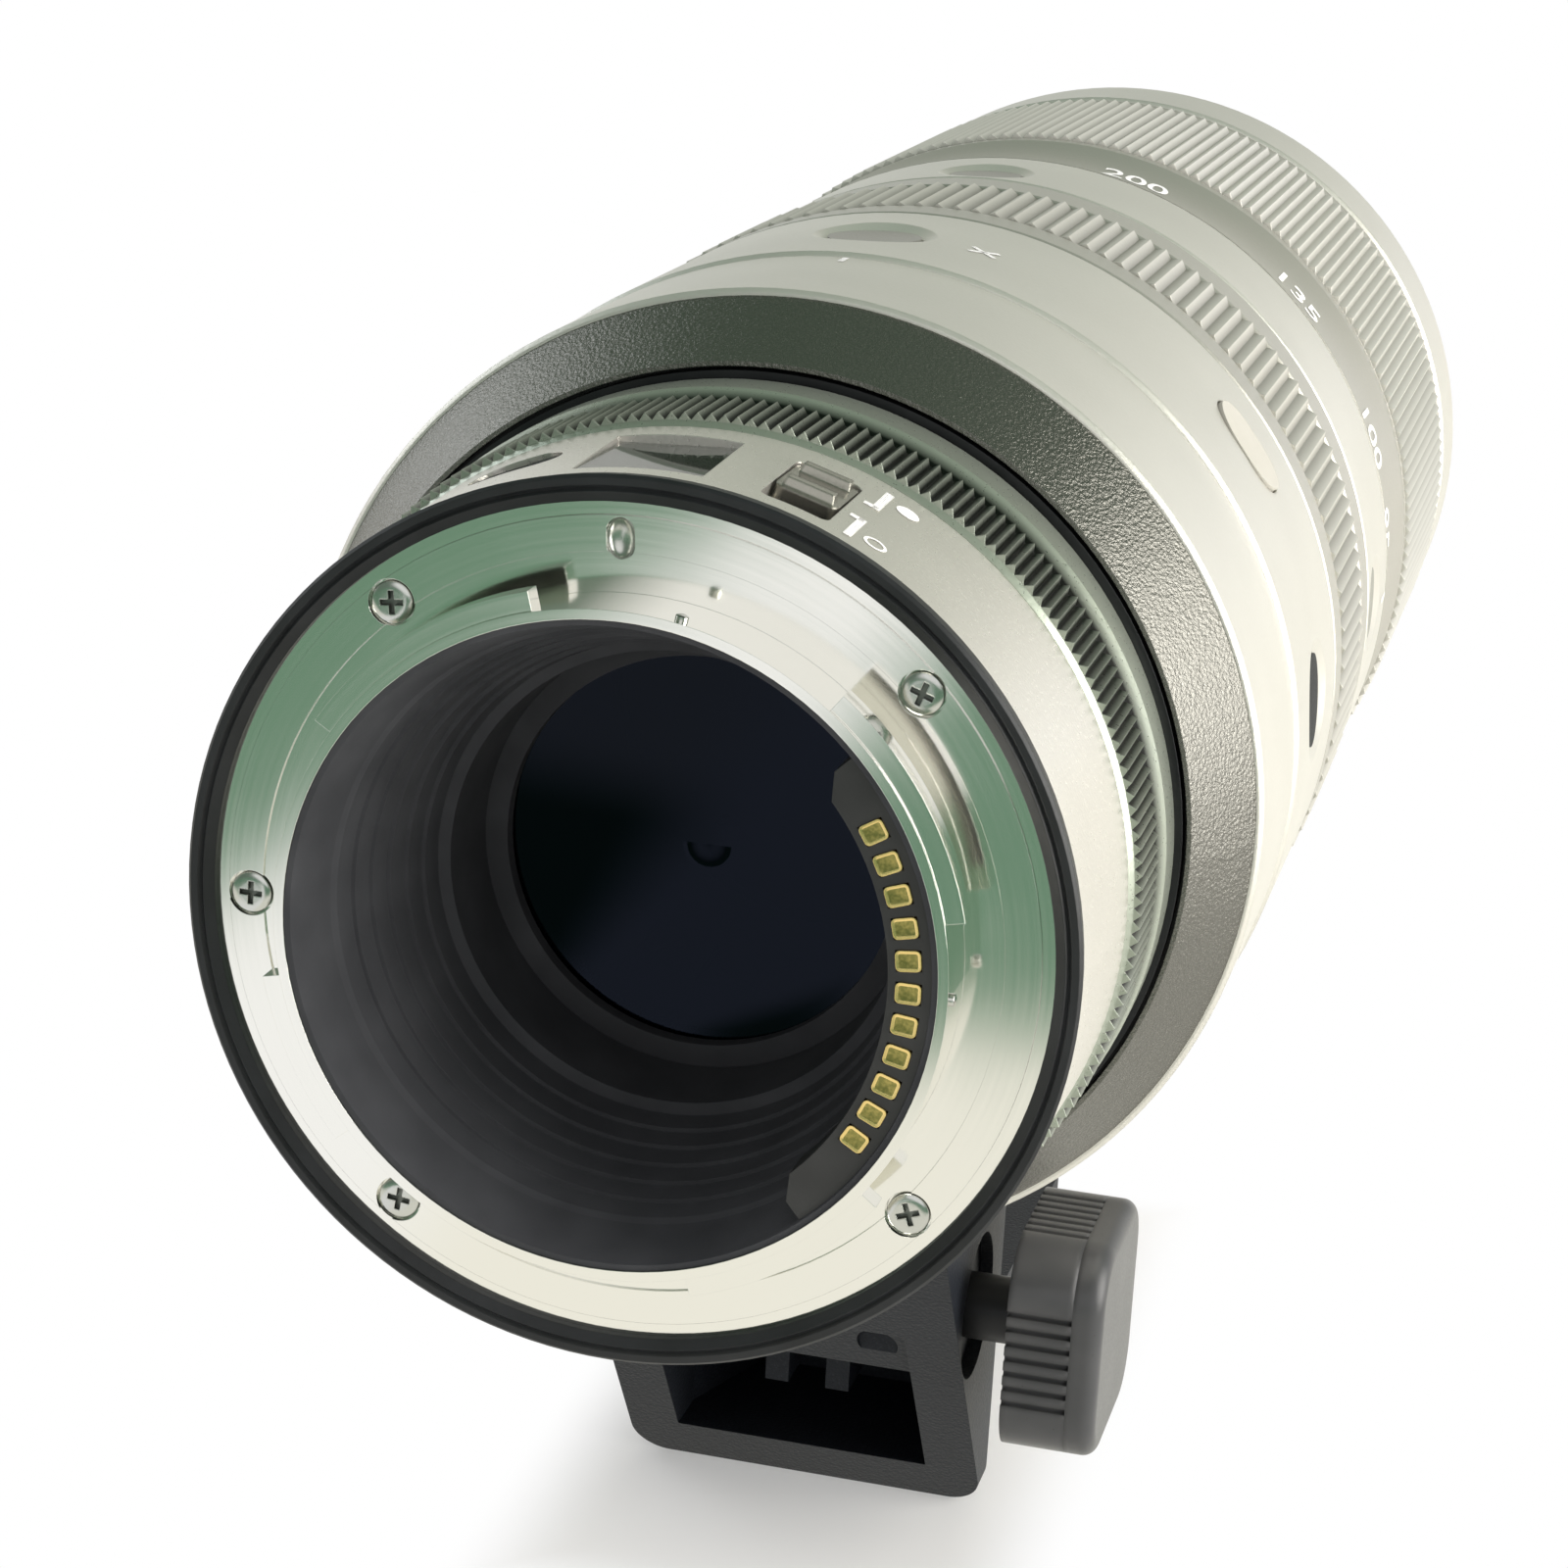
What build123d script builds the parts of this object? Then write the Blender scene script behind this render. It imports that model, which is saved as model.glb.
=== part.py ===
from build123d import *
import math
import os

# Tele zoom lens with a rotating tripod collar, in millimetres.
# The optical axis is +Y, Y = 0 is the seat of the mount flange and the mount faces -Y.
# Up is +Z and the tripod foot hangs towards -Z. Angles run counter-clockwise seen from
# behind, from +X. The barrel stands turned in its collar, with its contacts to the side.

# Fits and gaps
RUNNING_FIT = 0.05
SLIDING_FIT = 0.08
SIDE_GAP = 0.2
RING_GAP = 0.3
COLLAR_GAP = 0.4
CUT_MARGIN = 2.0

# Mount flange and bayonet
FLANGE_RIM = 1.1
FLANGE_THICKNESS = 2.2
SEAT_WIDTH = 2.8
SEAT_SETBACK = 1.6
SEAT_STEP = 0.2
THROAT_RADIUS = 25.7
BAYONET_WALL = 0.8
BAYONET_LENGTH = 5.5
LUG_HEIGHT = 1.5
LUG_THICKNESS = 2.0
LUG_SETBACK = 0.3
LUG_SPANS = ((104.5, 147.0), (12.5, 52.0), (-73.5, -38.0), (-168.0, -139.0))
MOUNT_SCREW_INSET = 1.05
MOUNT_SCREW_ANGLES = (44.4, 129.5, 182.0, 234.6, 320.0)
MOUNT_SCREW_HEAD_RADIUS = 1.85
MOUNT_SCREW_HEAD_DEPTH = 1.05
MOUNT_SCREW_RADIUS = 0.8
MOUNT_SCREW_LENGTH = 6.0
SCREW_CROSS_WIDTH = 0.5
SCREW_CROSS_LENGTH = 2.0
SCREW_CROSS_DEPTH = 0.6
SCREW_CROSS_TURN = 25.0
LOCK_RECESS_ANGLE = 93.0
LOCK_RECESS_LENGTH = 3.2
LOCK_RECESS_WIDTH = 2.2
LOCK_RECESS_DEPTH = 1.2
GASKET_WIDTH = 2.1
GASKET_RISE = 0.8
GASKET_GROOVE = 0.25

# Electrical contacts
CONTACT_COUNT = 11
CONTACT_PITCH = 6.2
CONTACT_INSET = 2.3
CONTACT_WIDTH = 1.65
CONTACT_HEIGHT = 2.0
CONTACT_PROUD = 0.15
CONTACT_DEPTH = 1.6
CONTACT_BLOCK_SPAN = (44.0, -50.0)
CONTACT_BLOCK_WIDTH = 3.9
CONTACT_BLOCK_CORNER = 1.6
CONTACT_BLOCK_SETBACK = 0.5
CONTACT_BLOCK_DEPTH = 3.6

# Rear housing with its window, switch and button
HOUSING_LAP = 0.2
HOUSING_FIT = 0.1
HOUSING_WALL = 1.9
HOUSING_FLARE = 0.5
HOUSING_START = 1.2
HOUSING_LENGTH = 17.7
HOUSING_CHAMFER = 0.3
WINDOW_ANGLE = 92.7
WINDOW_AXIAL = 9.6
WINDOW_LENGTH = 11.8
WINDOW_WIDTH = 10.2
WINDOW_THICKNESS = 0.8
DISPLAY_THICKNESS = 0.6
DISPLAY_MARGIN = 0.2
SWITCH_ANGLE = 72.6
SWITCH_SLOT_START = 3.6
SWITCH_SLOT_LENGTH = 11.2
SWITCH_SLOT_CORNER = 0.8
SWITCH_WIDTH = 5.2
SWITCH_LENGTH = 7.4
SWITCH_TRAVEL = 3.4
SWITCH_PROUD = 0.2
SWITCH_RIDGE_HEIGHT = 0.7
SWITCH_RIDGE_WIDTH = 1.3
SWITCH_RIDGE_SETBACK = 0.5
SWITCH_RIDGE_TAPER = 12.0
DISPLAY_BUTTON_ANGLE = 112.5
DISPLAY_BUTTON_AXIAL = 10.6
DISPLAY_BUTTON_LENGTH = 7.6
DISPLAY_BUTTON_WIDTH = 4.6
DISPLAY_BUTTON_TRAVEL = 0.3
DISPLAY_BUTTON_RECESS = 0.1
CATCH_CLEARANCE = 0.3
CATCH_WIDTH = 0.6
CATCH_THICKNESS = 0.4
CATCH_FIT = 0.1

# Main barrel
MAIN_WALL = 4.5
FRONT_BORE_WALL = 5.4
CONTROL_SEAT_RISE = 0.8
WEB_START = 44.0
WEB_THICKNESS = 4.0
WEB_LAP = 4.0
MAIN_FLANGE_THICKNESS = 3.8
BOARD_START = 8.0
BOARD_THICKNESS = 1.2
BOARD_WIDTH = 4.0

# Control ring behind the collar
CONTROL_LENGTH = 15.4
CONTROL_WALL = 2.0
CONTROL_TOOTH_HEIGHT = 0.65
CONTROL_BAND_RISE = 0.9
CONTROL_BAND_LENGTH = 4.4
CONTROL_TEETH = 210
CONTROL_TEETH_INSET = 0.6
CONTROL_TEETH_LENGTH = 8.0
CONTROL_EDGE = 0.4

# Tripod collar
COLLAR_REAR_GAP = 0.5
BEVEL_LENGTH = 7.2
COLLAR_LENGTH = 27.9
COLLAR_MOUTH_LIP = 0.2
BEVEL_DROP = 5.0
BEVEL_RISE = 0.6
COLLAR_SINK = 0.3
COLLAR_WALL = 6.75
COLLAR_EDGE = 0.4
LINER_WALL = 1.5
LINER_INSET = 1.9
RETAINER_LENGTH = 1.5
RETAINER_HEIGHT = 1.0

# Collar neck
FOOT_HALF_WIDTH = 18.0
NECK_HEIGHT = 6.5
NECK_LAP = 12.0
NECK_REAR_INSET = 15.6
REAR_LEAN = 0.7333
NECK_REACH = 26.0
NECK_FRONT_THICKNESS = 3.6
NECK_CLEARANCE = 1.2
TONGUE_INSET = 10.8
TONGUE_FRONT_GAP = 3.0
TONGUE_LEFT = -8.0
TONGUE_RIGHT = 6.0
TONGUE_DEPTH = 9.6
TONGUE_DOVETAIL = 1.5

# Tripod foot
FOOT_HEIGHT = 32.0
FOOT_EDGE_RADIUS = 3.5
TAPER_SETBACK = 13.0
TAPER_GAP = 1.0
TOE_INSET = 5.0
TOE_LENGTH = 44.0
TOE_CORNER_RADIUS = 9.0
TOE_THICKNESS = 9.0
TOE_BLEND_LENGTH = 15.0
TOE_BLEND_DROP = 3.0
FOOT_FIT = 0.1
CHANNEL_REAR_GAP = 0.7
FOOT_WALL = 5.2
WINDOW_FLOOR = 5.0
FOOT_WEB = 3.3
WINDOW_DROP = 6.5
WINDOW_RELIEF = 1.6
CAVITY_GAP = 1.0
CAVITY_TAPER = 4.5
RIB_OFFSET = 3.1
RIB_THICKNESS = 2.4
RIB_HEIGHT = 8.0
RIB_GAP = 3.5
SIGHT_HOLE_RADIUS = 2.0
SIGHT_HOLE_INSET = 3.3
SIGHT_HOLE_DROP = 9.3
SIGHT_HOLE_DEPTH = 0.8
FOOT_SCREW_INSET = 6.5
FOOT_SCREW_RADIUS = 1.5
FOOT_SCREW_HEAD_RADIUS = 2.4
FOOT_SCREW_HEAD_HEIGHT = 1.8
FOOT_SCREW_GRIP = 5.0
BUSH_INSET = 8.0
BUSH_RADIUS = 6.0
BUSH_BORE = 3.175
PIN_HOLE_SPACING = 18.0
PIN_HOLE_RADIUS = 2.6
PIN_HOLE_DEPTH = 5.5

# Foot clamp
CLAMP_INSET = 2.5
CLAMP_DROP = 6.0
CLAMP_TRAVEL = 1.2
JAW_WIDTH = 4.1
JAW_FRONT_GAP = 5.0
JAW_STOP_GAP = 0.3
STEM_RADIUS = 3.2
STEM_FIT = 0.1
STEM_DEPTH = 4.0
SCREW_TIP_RADIUS = 2.2
SCREW_TIP_DEPTH = 2.0
DISH_RADIUS = 7.1
DISH_DEPTH = 1.2
KNOB_STANDOFF = 4.7
KNOB_LENGTH = 6.1
KNOB_CAP_LENGTH = 2.8
KNOB_CAP_EDGE = 1.4
KNOB_WIDTH = 21.2
KNOB_CORNER_RADIUS = 5.5
KNOB_GROOVES = 7
KNOB_GROOVE_PITCH = 1.5
KNOB_GROOVE_WIDTH = 0.6
KNOB_GROOVE_DEPTH = 0.5

# Fixed barrel and outer shells
SHELL_WALL = 3.5
FIXED_WALL = 1.6
FIXED_LAP = 3.2
SHELL_RADIUS = 43.5
SHELL_EDGE = 0.4
BUTTON_SHELL_LENGTH = 28.6
FOCUS_RING_LENGTH = 29.4
MID_SHELL_LENGTH = 18.7
ZOOM_RING_LENGTH = 63.8
FRONT_RISE = 0.5
FRONT_EDGE = 1.0
FRONT_SHELL_LENGTH = 14.9

# Grip rings
FOCUS_GRIP_SINK = 0.3
FOCUS_RIBS = 144
FOCUS_RIB_HEIGHT = 0.6
FOCUS_RIBS_INSET = 5.5
FOCUS_RIBS_LENGTH = 17.4
SCALE_BAND_DEPTH = 1.2
SCALE_BAND_LENGTH = 17.0
ZOOM_GRIP_RISE = 0.1
ZOOM_RIBS = 195
ZOOM_RIB_HEIGHT = 0.6
ZOOM_RIBS_GAP = 2.0
ZOOM_RIBS_INSET = 3.3

# Buttons round the barrel
SCOOP_BALL_RADIUS = 13.0
SCOOP_DEPTH = 1.7
FRONT_SCOOP_DEPTH = 1.3
BUTTON_RADIUS = 4.4
BUTTON_FLAT = 3.0
BUTTON_TRAVEL = 0.5
BUTTON_RECESS = 0.5
BUTTON_ROW_INSET = 14.4
TOP_BUTTON_ANGLE = 92.0
SIDE_BUTTON_ANGLE = 5.0
MEMORY_BUTTON_ANGLE = 37.5
MEMORY_BUTTON_LEAD = 3.0
MEMORY_BUTTON_LENGTH = 9.6
MEMORY_BUTTON_WIDTH = 7.6
MEMORY_BUTTON_PROUD = 0.4
FRONT_BUTTON_INSET = 6.6
FRONT_BUTTON_COUNT = 4
FRONT_BUTTON_RADIUS = 3.8

# Zoom mechanism
ZOOM_TO_WIDE = 9.0
ZOOM_TO_TELE = 75.0
CAM_GAP = 0.85
GUIDE_WALL = 1.5
GUIDE_FRONT_GAP = 6.8
CAM_WALL = 1.6
CAM_REAR_GAP = 5.0
CAM_LENGTH = 86.0
FOLLOWER_COUNT = 3
FOLLOWER_RADIUS = 1.8
FOLLOWER_FIT = 0.1
FOLLOWER_SEAT = 4.4
FOLLOWER_TIP_GAP = 0.2
SLOT_MARGIN = 0.6
SLOT_END_STEP = 0.02
VARIATOR_INSET = 30.0
VARIATOR_LENGTH = 20.0
VARIATOR_TRAVEL = 24.0
VARIATOR_RIM = 10.32
VARIATOR_GLASS_THICKNESS = 6.0
VARIATOR_HOLLOW = 1.8
VARIATOR_ANGLE = 30.0
COMPENSATOR_SPACING = 30.0
COMPENSATOR_LENGTH = 16.0
COMPENSATOR_TRAVEL = 12.0
COMPENSATOR_RIM = 8.32
COMPENSATOR_GLASS_THICKNESS = 6.0
COMPENSATOR_CROWN = 2.4
COMPENSATOR_ANGLE = 90.0
CELL_RIM = 2.0
CELL_WEB = 5.0
CELL_SEAT_WALL = 1.6
CELL_SEAT_LENGTH = 8.0
ZOOM_KEY_INSET = 8.0
ZOOM_KEY_ANGLE = 200.0
ZOOM_KEY_WIDTH = 6.0
ZOOM_KEY_LENGTH = 8.0
ZOOM_KEY_ROOT_GAP = 0.3
ZOOM_KEY_HEAD = 1.5
KEY_SLOT_MARGIN = 1.0

# Focus and iris
IRIS_INSET = 16.8
IRIS_LENGTH = 9.0
IRIS_FIT = 0.1
IRIS_PLATE = 2.0
IRIS_WIDTH = 15.3
IRIS_CAVITY_WALL = 5.3
ROD_INSET = 3.4
ROD_RADIUS = 1.5
ROD_SEAT = 2.0
ROD_ANGLES = (60.0, 240.0)
FOCUS_CELL_INSET = 4.3
FOCUS_CELL_LENGTH = 8.0
FOCUS_CELL_GAP = 4.5
FOCUS_BOSS_RADIUS = 2.9
FOCUS_CELL_RIM = 5.5
FOCUS_GLASS_INSET = 2.0
FOCUS_GLASS_REAR_HOLLOW = 1.0
FOCUS_GLASS_FRONT_HOLLOW = 1.2
FOCUS_GLASS_RIM = 4.0
MOTOR_ANGLE = 150.0
MOTOR_ARC = 50.0
MOTOR_THICKNESS = 4.4
COIL_ARC = 40.0
COIL_GAP = 0.5

# Rear light path
BAFFLE_MOUTH_SETBACK = 0.2
BAFFLE_MOUTH_WALL = 0.5
BAFFLE_WALL = 1.7
BAFFLE_CONE_START = 0.6
BAFFLE_CONE_END = 13.0
BAFFLE_CONE_DROP = 4.2
BAFFLE_RIDGES = 6
BAFFLE_RIDGE_STEP = 0.35
BAFFLE_LIP_DROP = 1.3
BAFFLE_LIP_WALL = 2.0
REAR_CELL_START = 21.0
REAR_CELL_RISE = 0.3
REAR_STOP_WIDTH = 1.4
REAR_STOP_THICKNESS = 1.4
REAR_GLASS_INSET = 0.5
REAR_GLASS_HOLLOW = 1.2
REAR_GLASS_CROWN = 2.0
REAR_SEAT_GAP = 2.0
REAR_GLASS_RIM = 7.0

# Front glass and filter thread
FILTER_WALL = 1.75
FILTER_THREAD_LENGTH = 6.6
FILTER_LIP_WIDTH = 1.05
FILTER_RING_SETBACK = 0.4
FRONT_CELL_LENGTH = 14.0
FRONT_CELL_WALL = 0.8
FRONT_STOP_WIDTH = 2.2
FRONT_STOP_THICKNESS = 2.0
FRONT_GLASS_RIM = 7.0
FRONT_GLASS_CROWN = 3.2
FRONT_GLASS_HOLLOW = 0.8
FRONT_RETAINER_WIDTH = 1.8
FRONT_RETAINER_EDGE = 0.4
FRONT_RETAINER_SLOPE = 0.6
FRONT_RETAINER_THICKNESS = 1.6

# Radii that follow, from the mount outwards
bayonet_radius = THROAT_RADIUS + BAYONET_WALL
lug_radius = bayonet_radius + LUG_HEIGHT
seat_inner_radius = lug_radius + SEAT_SETBACK
seat_outer_radius = seat_inner_radius + SEAT_WIDTH
flange_radius = seat_outer_radius + FLANGE_RIM
mount_screw_circle = seat_inner_radius + MOUNT_SCREW_INSET
contact_radius = THROAT_RADIUS - CONTACT_INSET
contact_block_radius = THROAT_RADIUS - CONTACT_BLOCK_WIDTH
baffle_mouth_radius = THROAT_RADIUS - BAFFLE_MOUTH_WALL
baffle_step_radius = THROAT_RADIUS - BAFFLE_WALL
baffle_cone_radius = baffle_step_radius - BAFFLE_CONE_DROP
baffle_lip_radius = baffle_cone_radius - BAFFLE_LIP_DROP
rear_glass_radius = baffle_lip_radius - REAR_GLASS_INSET
rear_stop_radius = rear_glass_radius - REAR_STOP_WIDTH
rear_cell_radius = THROAT_RADIUS + REAR_CELL_RISE
web_radius = rear_cell_radius - WEB_LAP
main_bore = flange_radius - MAIN_WALL
housing_bore = flange_radius - HOUSING_LAP
housing_radius = housing_bore + HOUSING_WALL
main_rear_radius = housing_bore - HOUSING_FIT
control_seat_radius = main_rear_radius + CONTROL_SEAT_RISE
control_root_radius = control_seat_radius + CONTROL_WALL
control_tip_radius = control_root_radius + CONTROL_TOOTH_HEIGHT
control_band_radius = control_root_radius + CONTROL_BAND_RISE

# Radii that follow from the outer shell
fixed_radius = SHELL_RADIUS - SHELL_WALL
front_radius = SHELL_RADIUS + FRONT_RISE
focus_root_radius = SHELL_RADIUS - FOCUS_GRIP_SINK
zoom_root_radius = SHELL_RADIUS + ZOOM_GRIP_RISE
scale_band_radius = SHELL_RADIUS - SCALE_BAND_DEPTH
collar_radius = SHELL_RADIUS - COLLAR_SINK
collar_bevel_radius = collar_radius - BEVEL_RISE
collar_rear_radius = collar_radius - BEVEL_DROP
bearing_radius = collar_radius - COLLAR_WALL
collar_bore = bearing_radius + RUNNING_FIT
liner_radius = collar_bore + LINER_WALL
collar_mouth_radius = liner_radius - COLLAR_MOUTH_LIP
fixed_bore = fixed_radius - FIXED_WALL
ring_bore = fixed_radius + RUNNING_FIT
cam_radius = fixed_bore - CAM_GAP
cam_bore = cam_radius - CAM_WALL
guide_radius = cam_bore - RUNNING_FIT
guide_bore = guide_radius - GUIDE_WALL
main_front_bore = guide_bore - FRONT_BORE_WALL
cell_radius = guide_bore - SLIDING_FIT
follower_root = guide_bore - FOLLOWER_SEAT
follower_tip = cam_radius - FOLLOWER_TIP_GAP
slot_radius = FOLLOWER_RADIUS + FOLLOWER_FIT
variator_glass_radius = cell_radius - VARIATOR_RIM
compensator_glass_radius = cell_radius - COMPENSATOR_RIM
iris_radius = guide_bore - IRIS_FIT
iris_aperture = iris_radius - IRIS_WIDTH
iris_cavity_radius = iris_radius - IRIS_CAVITY_WALL
rod_circle = guide_bore - ROD_INSET
motor_inner_radius = guide_bore - MOTOR_THICKNESS
focus_cell_radius = rod_circle - FOCUS_CELL_GAP
focus_glass_radius = focus_cell_radius - FOCUS_CELL_RIM
front_glass_radius = fixed_bore - FRONT_CELL_WALL
front_stop_radius = front_glass_radius - FRONT_STOP_WIDTH
front_retainer_radius = front_glass_radius - FRONT_RETAINER_WIDTH
filter_thread_radius = fixed_radius - FILTER_WALL
filter_lip_radius = filter_thread_radius - FILTER_LIP_WIDTH

# Places along the axis, from the flange seat forwards
housing_end = HOUSING_START + HOUSING_LENGTH
control_start = housing_end + RING_GAP
control_end = control_start + CONTROL_LENGTH
control_teeth_start = control_start + CONTROL_TEETH_INSET
control_teeth_end = control_teeth_start + CONTROL_TEETH_LENGTH
control_band_start = control_end - CONTROL_BAND_LENGTH
collar_start = control_end + COLLAR_REAR_GAP
bevel_end = collar_start + BEVEL_LENGTH
collar_end = collar_start + COLLAR_LENGTH
liner_start = collar_start + LINER_INSET
retainer_end = collar_start + RETAINER_LENGTH
shell_start = collar_end + COLLAR_GAP
main_end = shell_start + MAIN_FLANGE_THICKNESS
button_row = shell_start + BUTTON_ROW_INSET
memory_button_axial = button_row + MEMORY_BUTTON_LEAD
button_shell_end = shell_start + BUTTON_SHELL_LENGTH
focus_ring_start = button_shell_end + RING_GAP
focus_ring_end = focus_ring_start + FOCUS_RING_LENGTH
focus_ribs_start = focus_ring_start + FOCUS_RIBS_INSET
focus_ribs_end = focus_ribs_start + FOCUS_RIBS_LENGTH
mid_shell_start = focus_ring_end + RING_GAP
mid_shell_end = mid_shell_start + MID_SHELL_LENGTH
front_button_row = mid_shell_start + FRONT_BUTTON_INSET
zoom_ring_start = mid_shell_end + RING_GAP
zoom_ring_end = zoom_ring_start + ZOOM_RING_LENGTH
scale_band_end = zoom_ring_start + SCALE_BAND_LENGTH
zoom_ribs_start = scale_band_end + ZOOM_RIBS_GAP
zoom_ribs_end = zoom_ring_end - ZOOM_RIBS_INSET
front_shell_start = zoom_ring_end + RING_GAP
lens_length = front_shell_start + FRONT_SHELL_LENGTH
fixed_end = zoom_ring_end + FIXED_LAP
guide_end = zoom_ring_end - GUIDE_FRONT_GAP
focus_cell_start = main_end + FOCUS_CELL_INSET
iris_start = main_end + IRIS_INSET
iris_end = iris_start + IRIS_LENGTH
cam_start = iris_end + CAM_REAR_GAP
cam_end = cam_start + CAM_LENGTH
variator_axial = cam_start + VARIATOR_INSET
compensator_axial = variator_axial + COMPENSATOR_SPACING
zoom_key_axial = cam_end - ZOOM_KEY_INSET
zoom_range = ZOOM_TO_WIDE + ZOOM_TO_TELE
front_glass_start = guide_end + FRONT_STOP_THICKNESS
front_cell_end = guide_end + FRONT_CELL_LENGTH
filter_ring_end = lens_length - FILTER_RING_SETBACK
filter_thread_start = filter_ring_end - FILTER_THREAD_LENGTH

# Neck, foot and clamp
neck_rear_at_seam = collar_start + NECK_REAR_INSET
neck_front = collar_end + NECK_REACH
tongue_start = neck_rear_at_seam + TONGUE_INSET
tongue_end = neck_front - TONGUE_FRONT_GAP
seam_z = -SHELL_RADIUS - NECK_HEIGHT
neck_top_z = seam_z + NECK_LAP
neck_shoulder_z = -SHELL_RADIUS - NECK_CLEARANCE
foot_bottom_z = seam_z - FOOT_HEIGHT
tongue_bottom_z = seam_z - TONGUE_DEPTH
channel_floor_z = tongue_bottom_z - FOOT_FIT
cavity_floor_z = foot_bottom_z + WINDOW_FLOOR
cavity_top_z = channel_floor_z - FOOT_WEB
window_top_z = seam_z - WINDOW_DROP
sight_hole_z = seam_z - SIGHT_HOLE_DROP
clamp_z = seam_z - CLAMP_DROP
foot_wide_end = neck_front - TAPER_SETBACK
toe_start = neck_front - TAPER_GAP
toe_half_width = FOOT_HALF_WIDTH - TOE_INSET
toe_shoulder = neck_front + TOE_BLEND_LENGTH
toe_end = toe_shoulder + TOE_LENGTH
toe_top_z = foot_bottom_z + TOE_THICKNESS
window_half_width = FOOT_HALF_WIDTH - FOOT_WALL
cavity_end = neck_front - CAVITY_GAP
cavity_end_half_width = toe_half_width - CAVITY_TAPER
sight_hole_x = window_half_width - SIGHT_HOLE_INSET
foot_screw_axial = tongue_start + FOOT_SCREW_INSET
rib_start = foot_screw_axial + RIB_GAP
bush_axial = toe_shoulder + BUSH_INSET
pin_hole_axial = bush_axial + PIN_HOLE_SPACING
clamp_axial = tongue_start + CLAMP_INSET
jaw_start = tongue_start - FOOT_FIT
jaw_end = neck_front - JAW_FRONT_GAP
jaw_left = TONGUE_RIGHT + FOOT_FIT
jaw_right = jaw_left + JAW_WIDTH
channel_right = jaw_right + CLAMP_TRAVEL + JAW_STOP_GAP
knob_start = FOOT_HALF_WIDTH + KNOB_STANDOFF
knob_cap_start = knob_start + KNOB_LENGTH


# Helpers
def meridian(angle):
    """Half plane through the optical axis: local x is the radius, local y the place along it."""
    turn = math.radians(angle)
    across = (math.cos(turn), 0, math.sin(turn))
    return Plane(origin=(0, 0, 0), x_dir=across, z_dir=(-math.sin(turn), 0, math.cos(turn)))


def cross_section(axial):
    """Plane square to the axis, facing the camera body: local x is X, local y is Z."""
    return Plane(origin=(0, axial, 0), x_dir=(1, 0, 0), z_dir=(0, -1, 0))


def on_barrel(angle, axial, height):
    """Plane that touches the barrel at a height: local x is +Y, local z points outwards."""
    turn = math.radians(angle)
    outward = (math.cos(turn), 0, math.sin(turn))
    place = (height * outward[0], axial, height * outward[2])
    return Plane(origin=place, x_dir=(0, 1, 0), z_dir=outward)


def polar(radius, angle):
    turn = math.radians(angle)
    return (radius * math.cos(turn), radius * math.sin(turn))


def chord_height(radius, width):
    """Height at which a flat of this width just meets a round wall."""
    return math.sqrt(radius**2 - (width / 2) ** 2)


def rear_face(z):
    """Axial place of the leaning rear face of neck and foot."""
    return neck_rear_at_seam + (seam_z - z) * REAR_LEAN


def turned(*outline, start=0.0, arc=360.0, mode=Mode.ADD):
    """Turn a closed outline of (radius, axial) points about the optical axis."""
    with BuildSketch(meridian(start)) as section:
        with BuildLine():
            Polyline(*outline, close=True)
        make_face()
    revolve(section.sketch, axis=Axis.Y, revolution_arc=arc, mode=mode)


def tube(inner, outer, start, end):
    with BuildSketch(cross_section(start)) as ring:
        Circle(outer)
        Circle(inner, mode=Mode.SUBTRACT)
    extrude(ring.sketch, amount=start - end)


def ribbed_band(ribs, inner, root, tip, start, end):
    """A band of straight ribs along the axis, each with a crest."""
    step = 360.0 / ribs
    crests = [(polar(tip, step * n), polar(root, step * (n + 0.5))) for n in range(ribs)]
    outline = [point for pair in crests for point in pair]
    with BuildSketch(cross_section(start)) as band:
        with BuildLine():
            Polyline(*outline, close=True)
        make_face()
        Circle(inner, mode=Mode.SUBTRACT)
    extrude(band.sketch, amount=start - end)


def glass_element(radius, start, rim, rear_crown, front_crown):
    """A lens element with a straight rim: a crown below zero is hollow."""
    end = start + rim
    with BuildSketch(Plane.XY) as section:
        with BuildLine():
            SagittaArc((-radius, start), (radius, start), -rear_crown)
            Line((radius, start), (radius, end))
            SagittaArc((radius, end), (-radius, end), -front_crown)
            Line((-radius, end), (-radius, start))
        make_face()
        split(bisect_by=Plane.YZ)
    revolve(section.sketch, axis=Axis.Y)


def lens_cell(middle, length, outer, glass_radius):
    """A thin rim with a web and a seat that carries one glass."""
    seat_radius = glass_radius + CELL_SEAT_WALL
    rim_bore = outer - CELL_RIM
    rear = middle - length / 2
    front = middle + length / 2
    web_rear = middle - CELL_WEB / 2
    web_front = middle + CELL_WEB / 2
    seat_rear = middle - CELL_SEAT_LENGTH / 2
    seat_front = middle + CELL_SEAT_LENGTH / 2
    turned(
        (outer, rear),
        (outer, front),
        (rim_bore, front),
        (rim_bore, web_front),
        (seat_radius, web_front),
        (seat_radius, seat_front),
        (glass_radius, seat_front),
        (glass_radius, seat_rear),
        (seat_radius, seat_rear),
        (seat_radius, web_rear),
        (rim_bore, web_rear),
        (rim_bore, rear),
    )


def radial_pins(angles, axial, radius, low, high, mode=Mode.ADD):
    for angle in angles:
        with Locations(on_barrel(angle, axial, low)):
            Cylinder(radius, high - low, align=(Align.CENTER, Align.CENTER, Align.MIN), mode=mode)


def follower_angles(first):
    return [first + n * 360.0 / FOLLOWER_COUNT for n in range(FOLLOWER_COUNT)]


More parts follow.
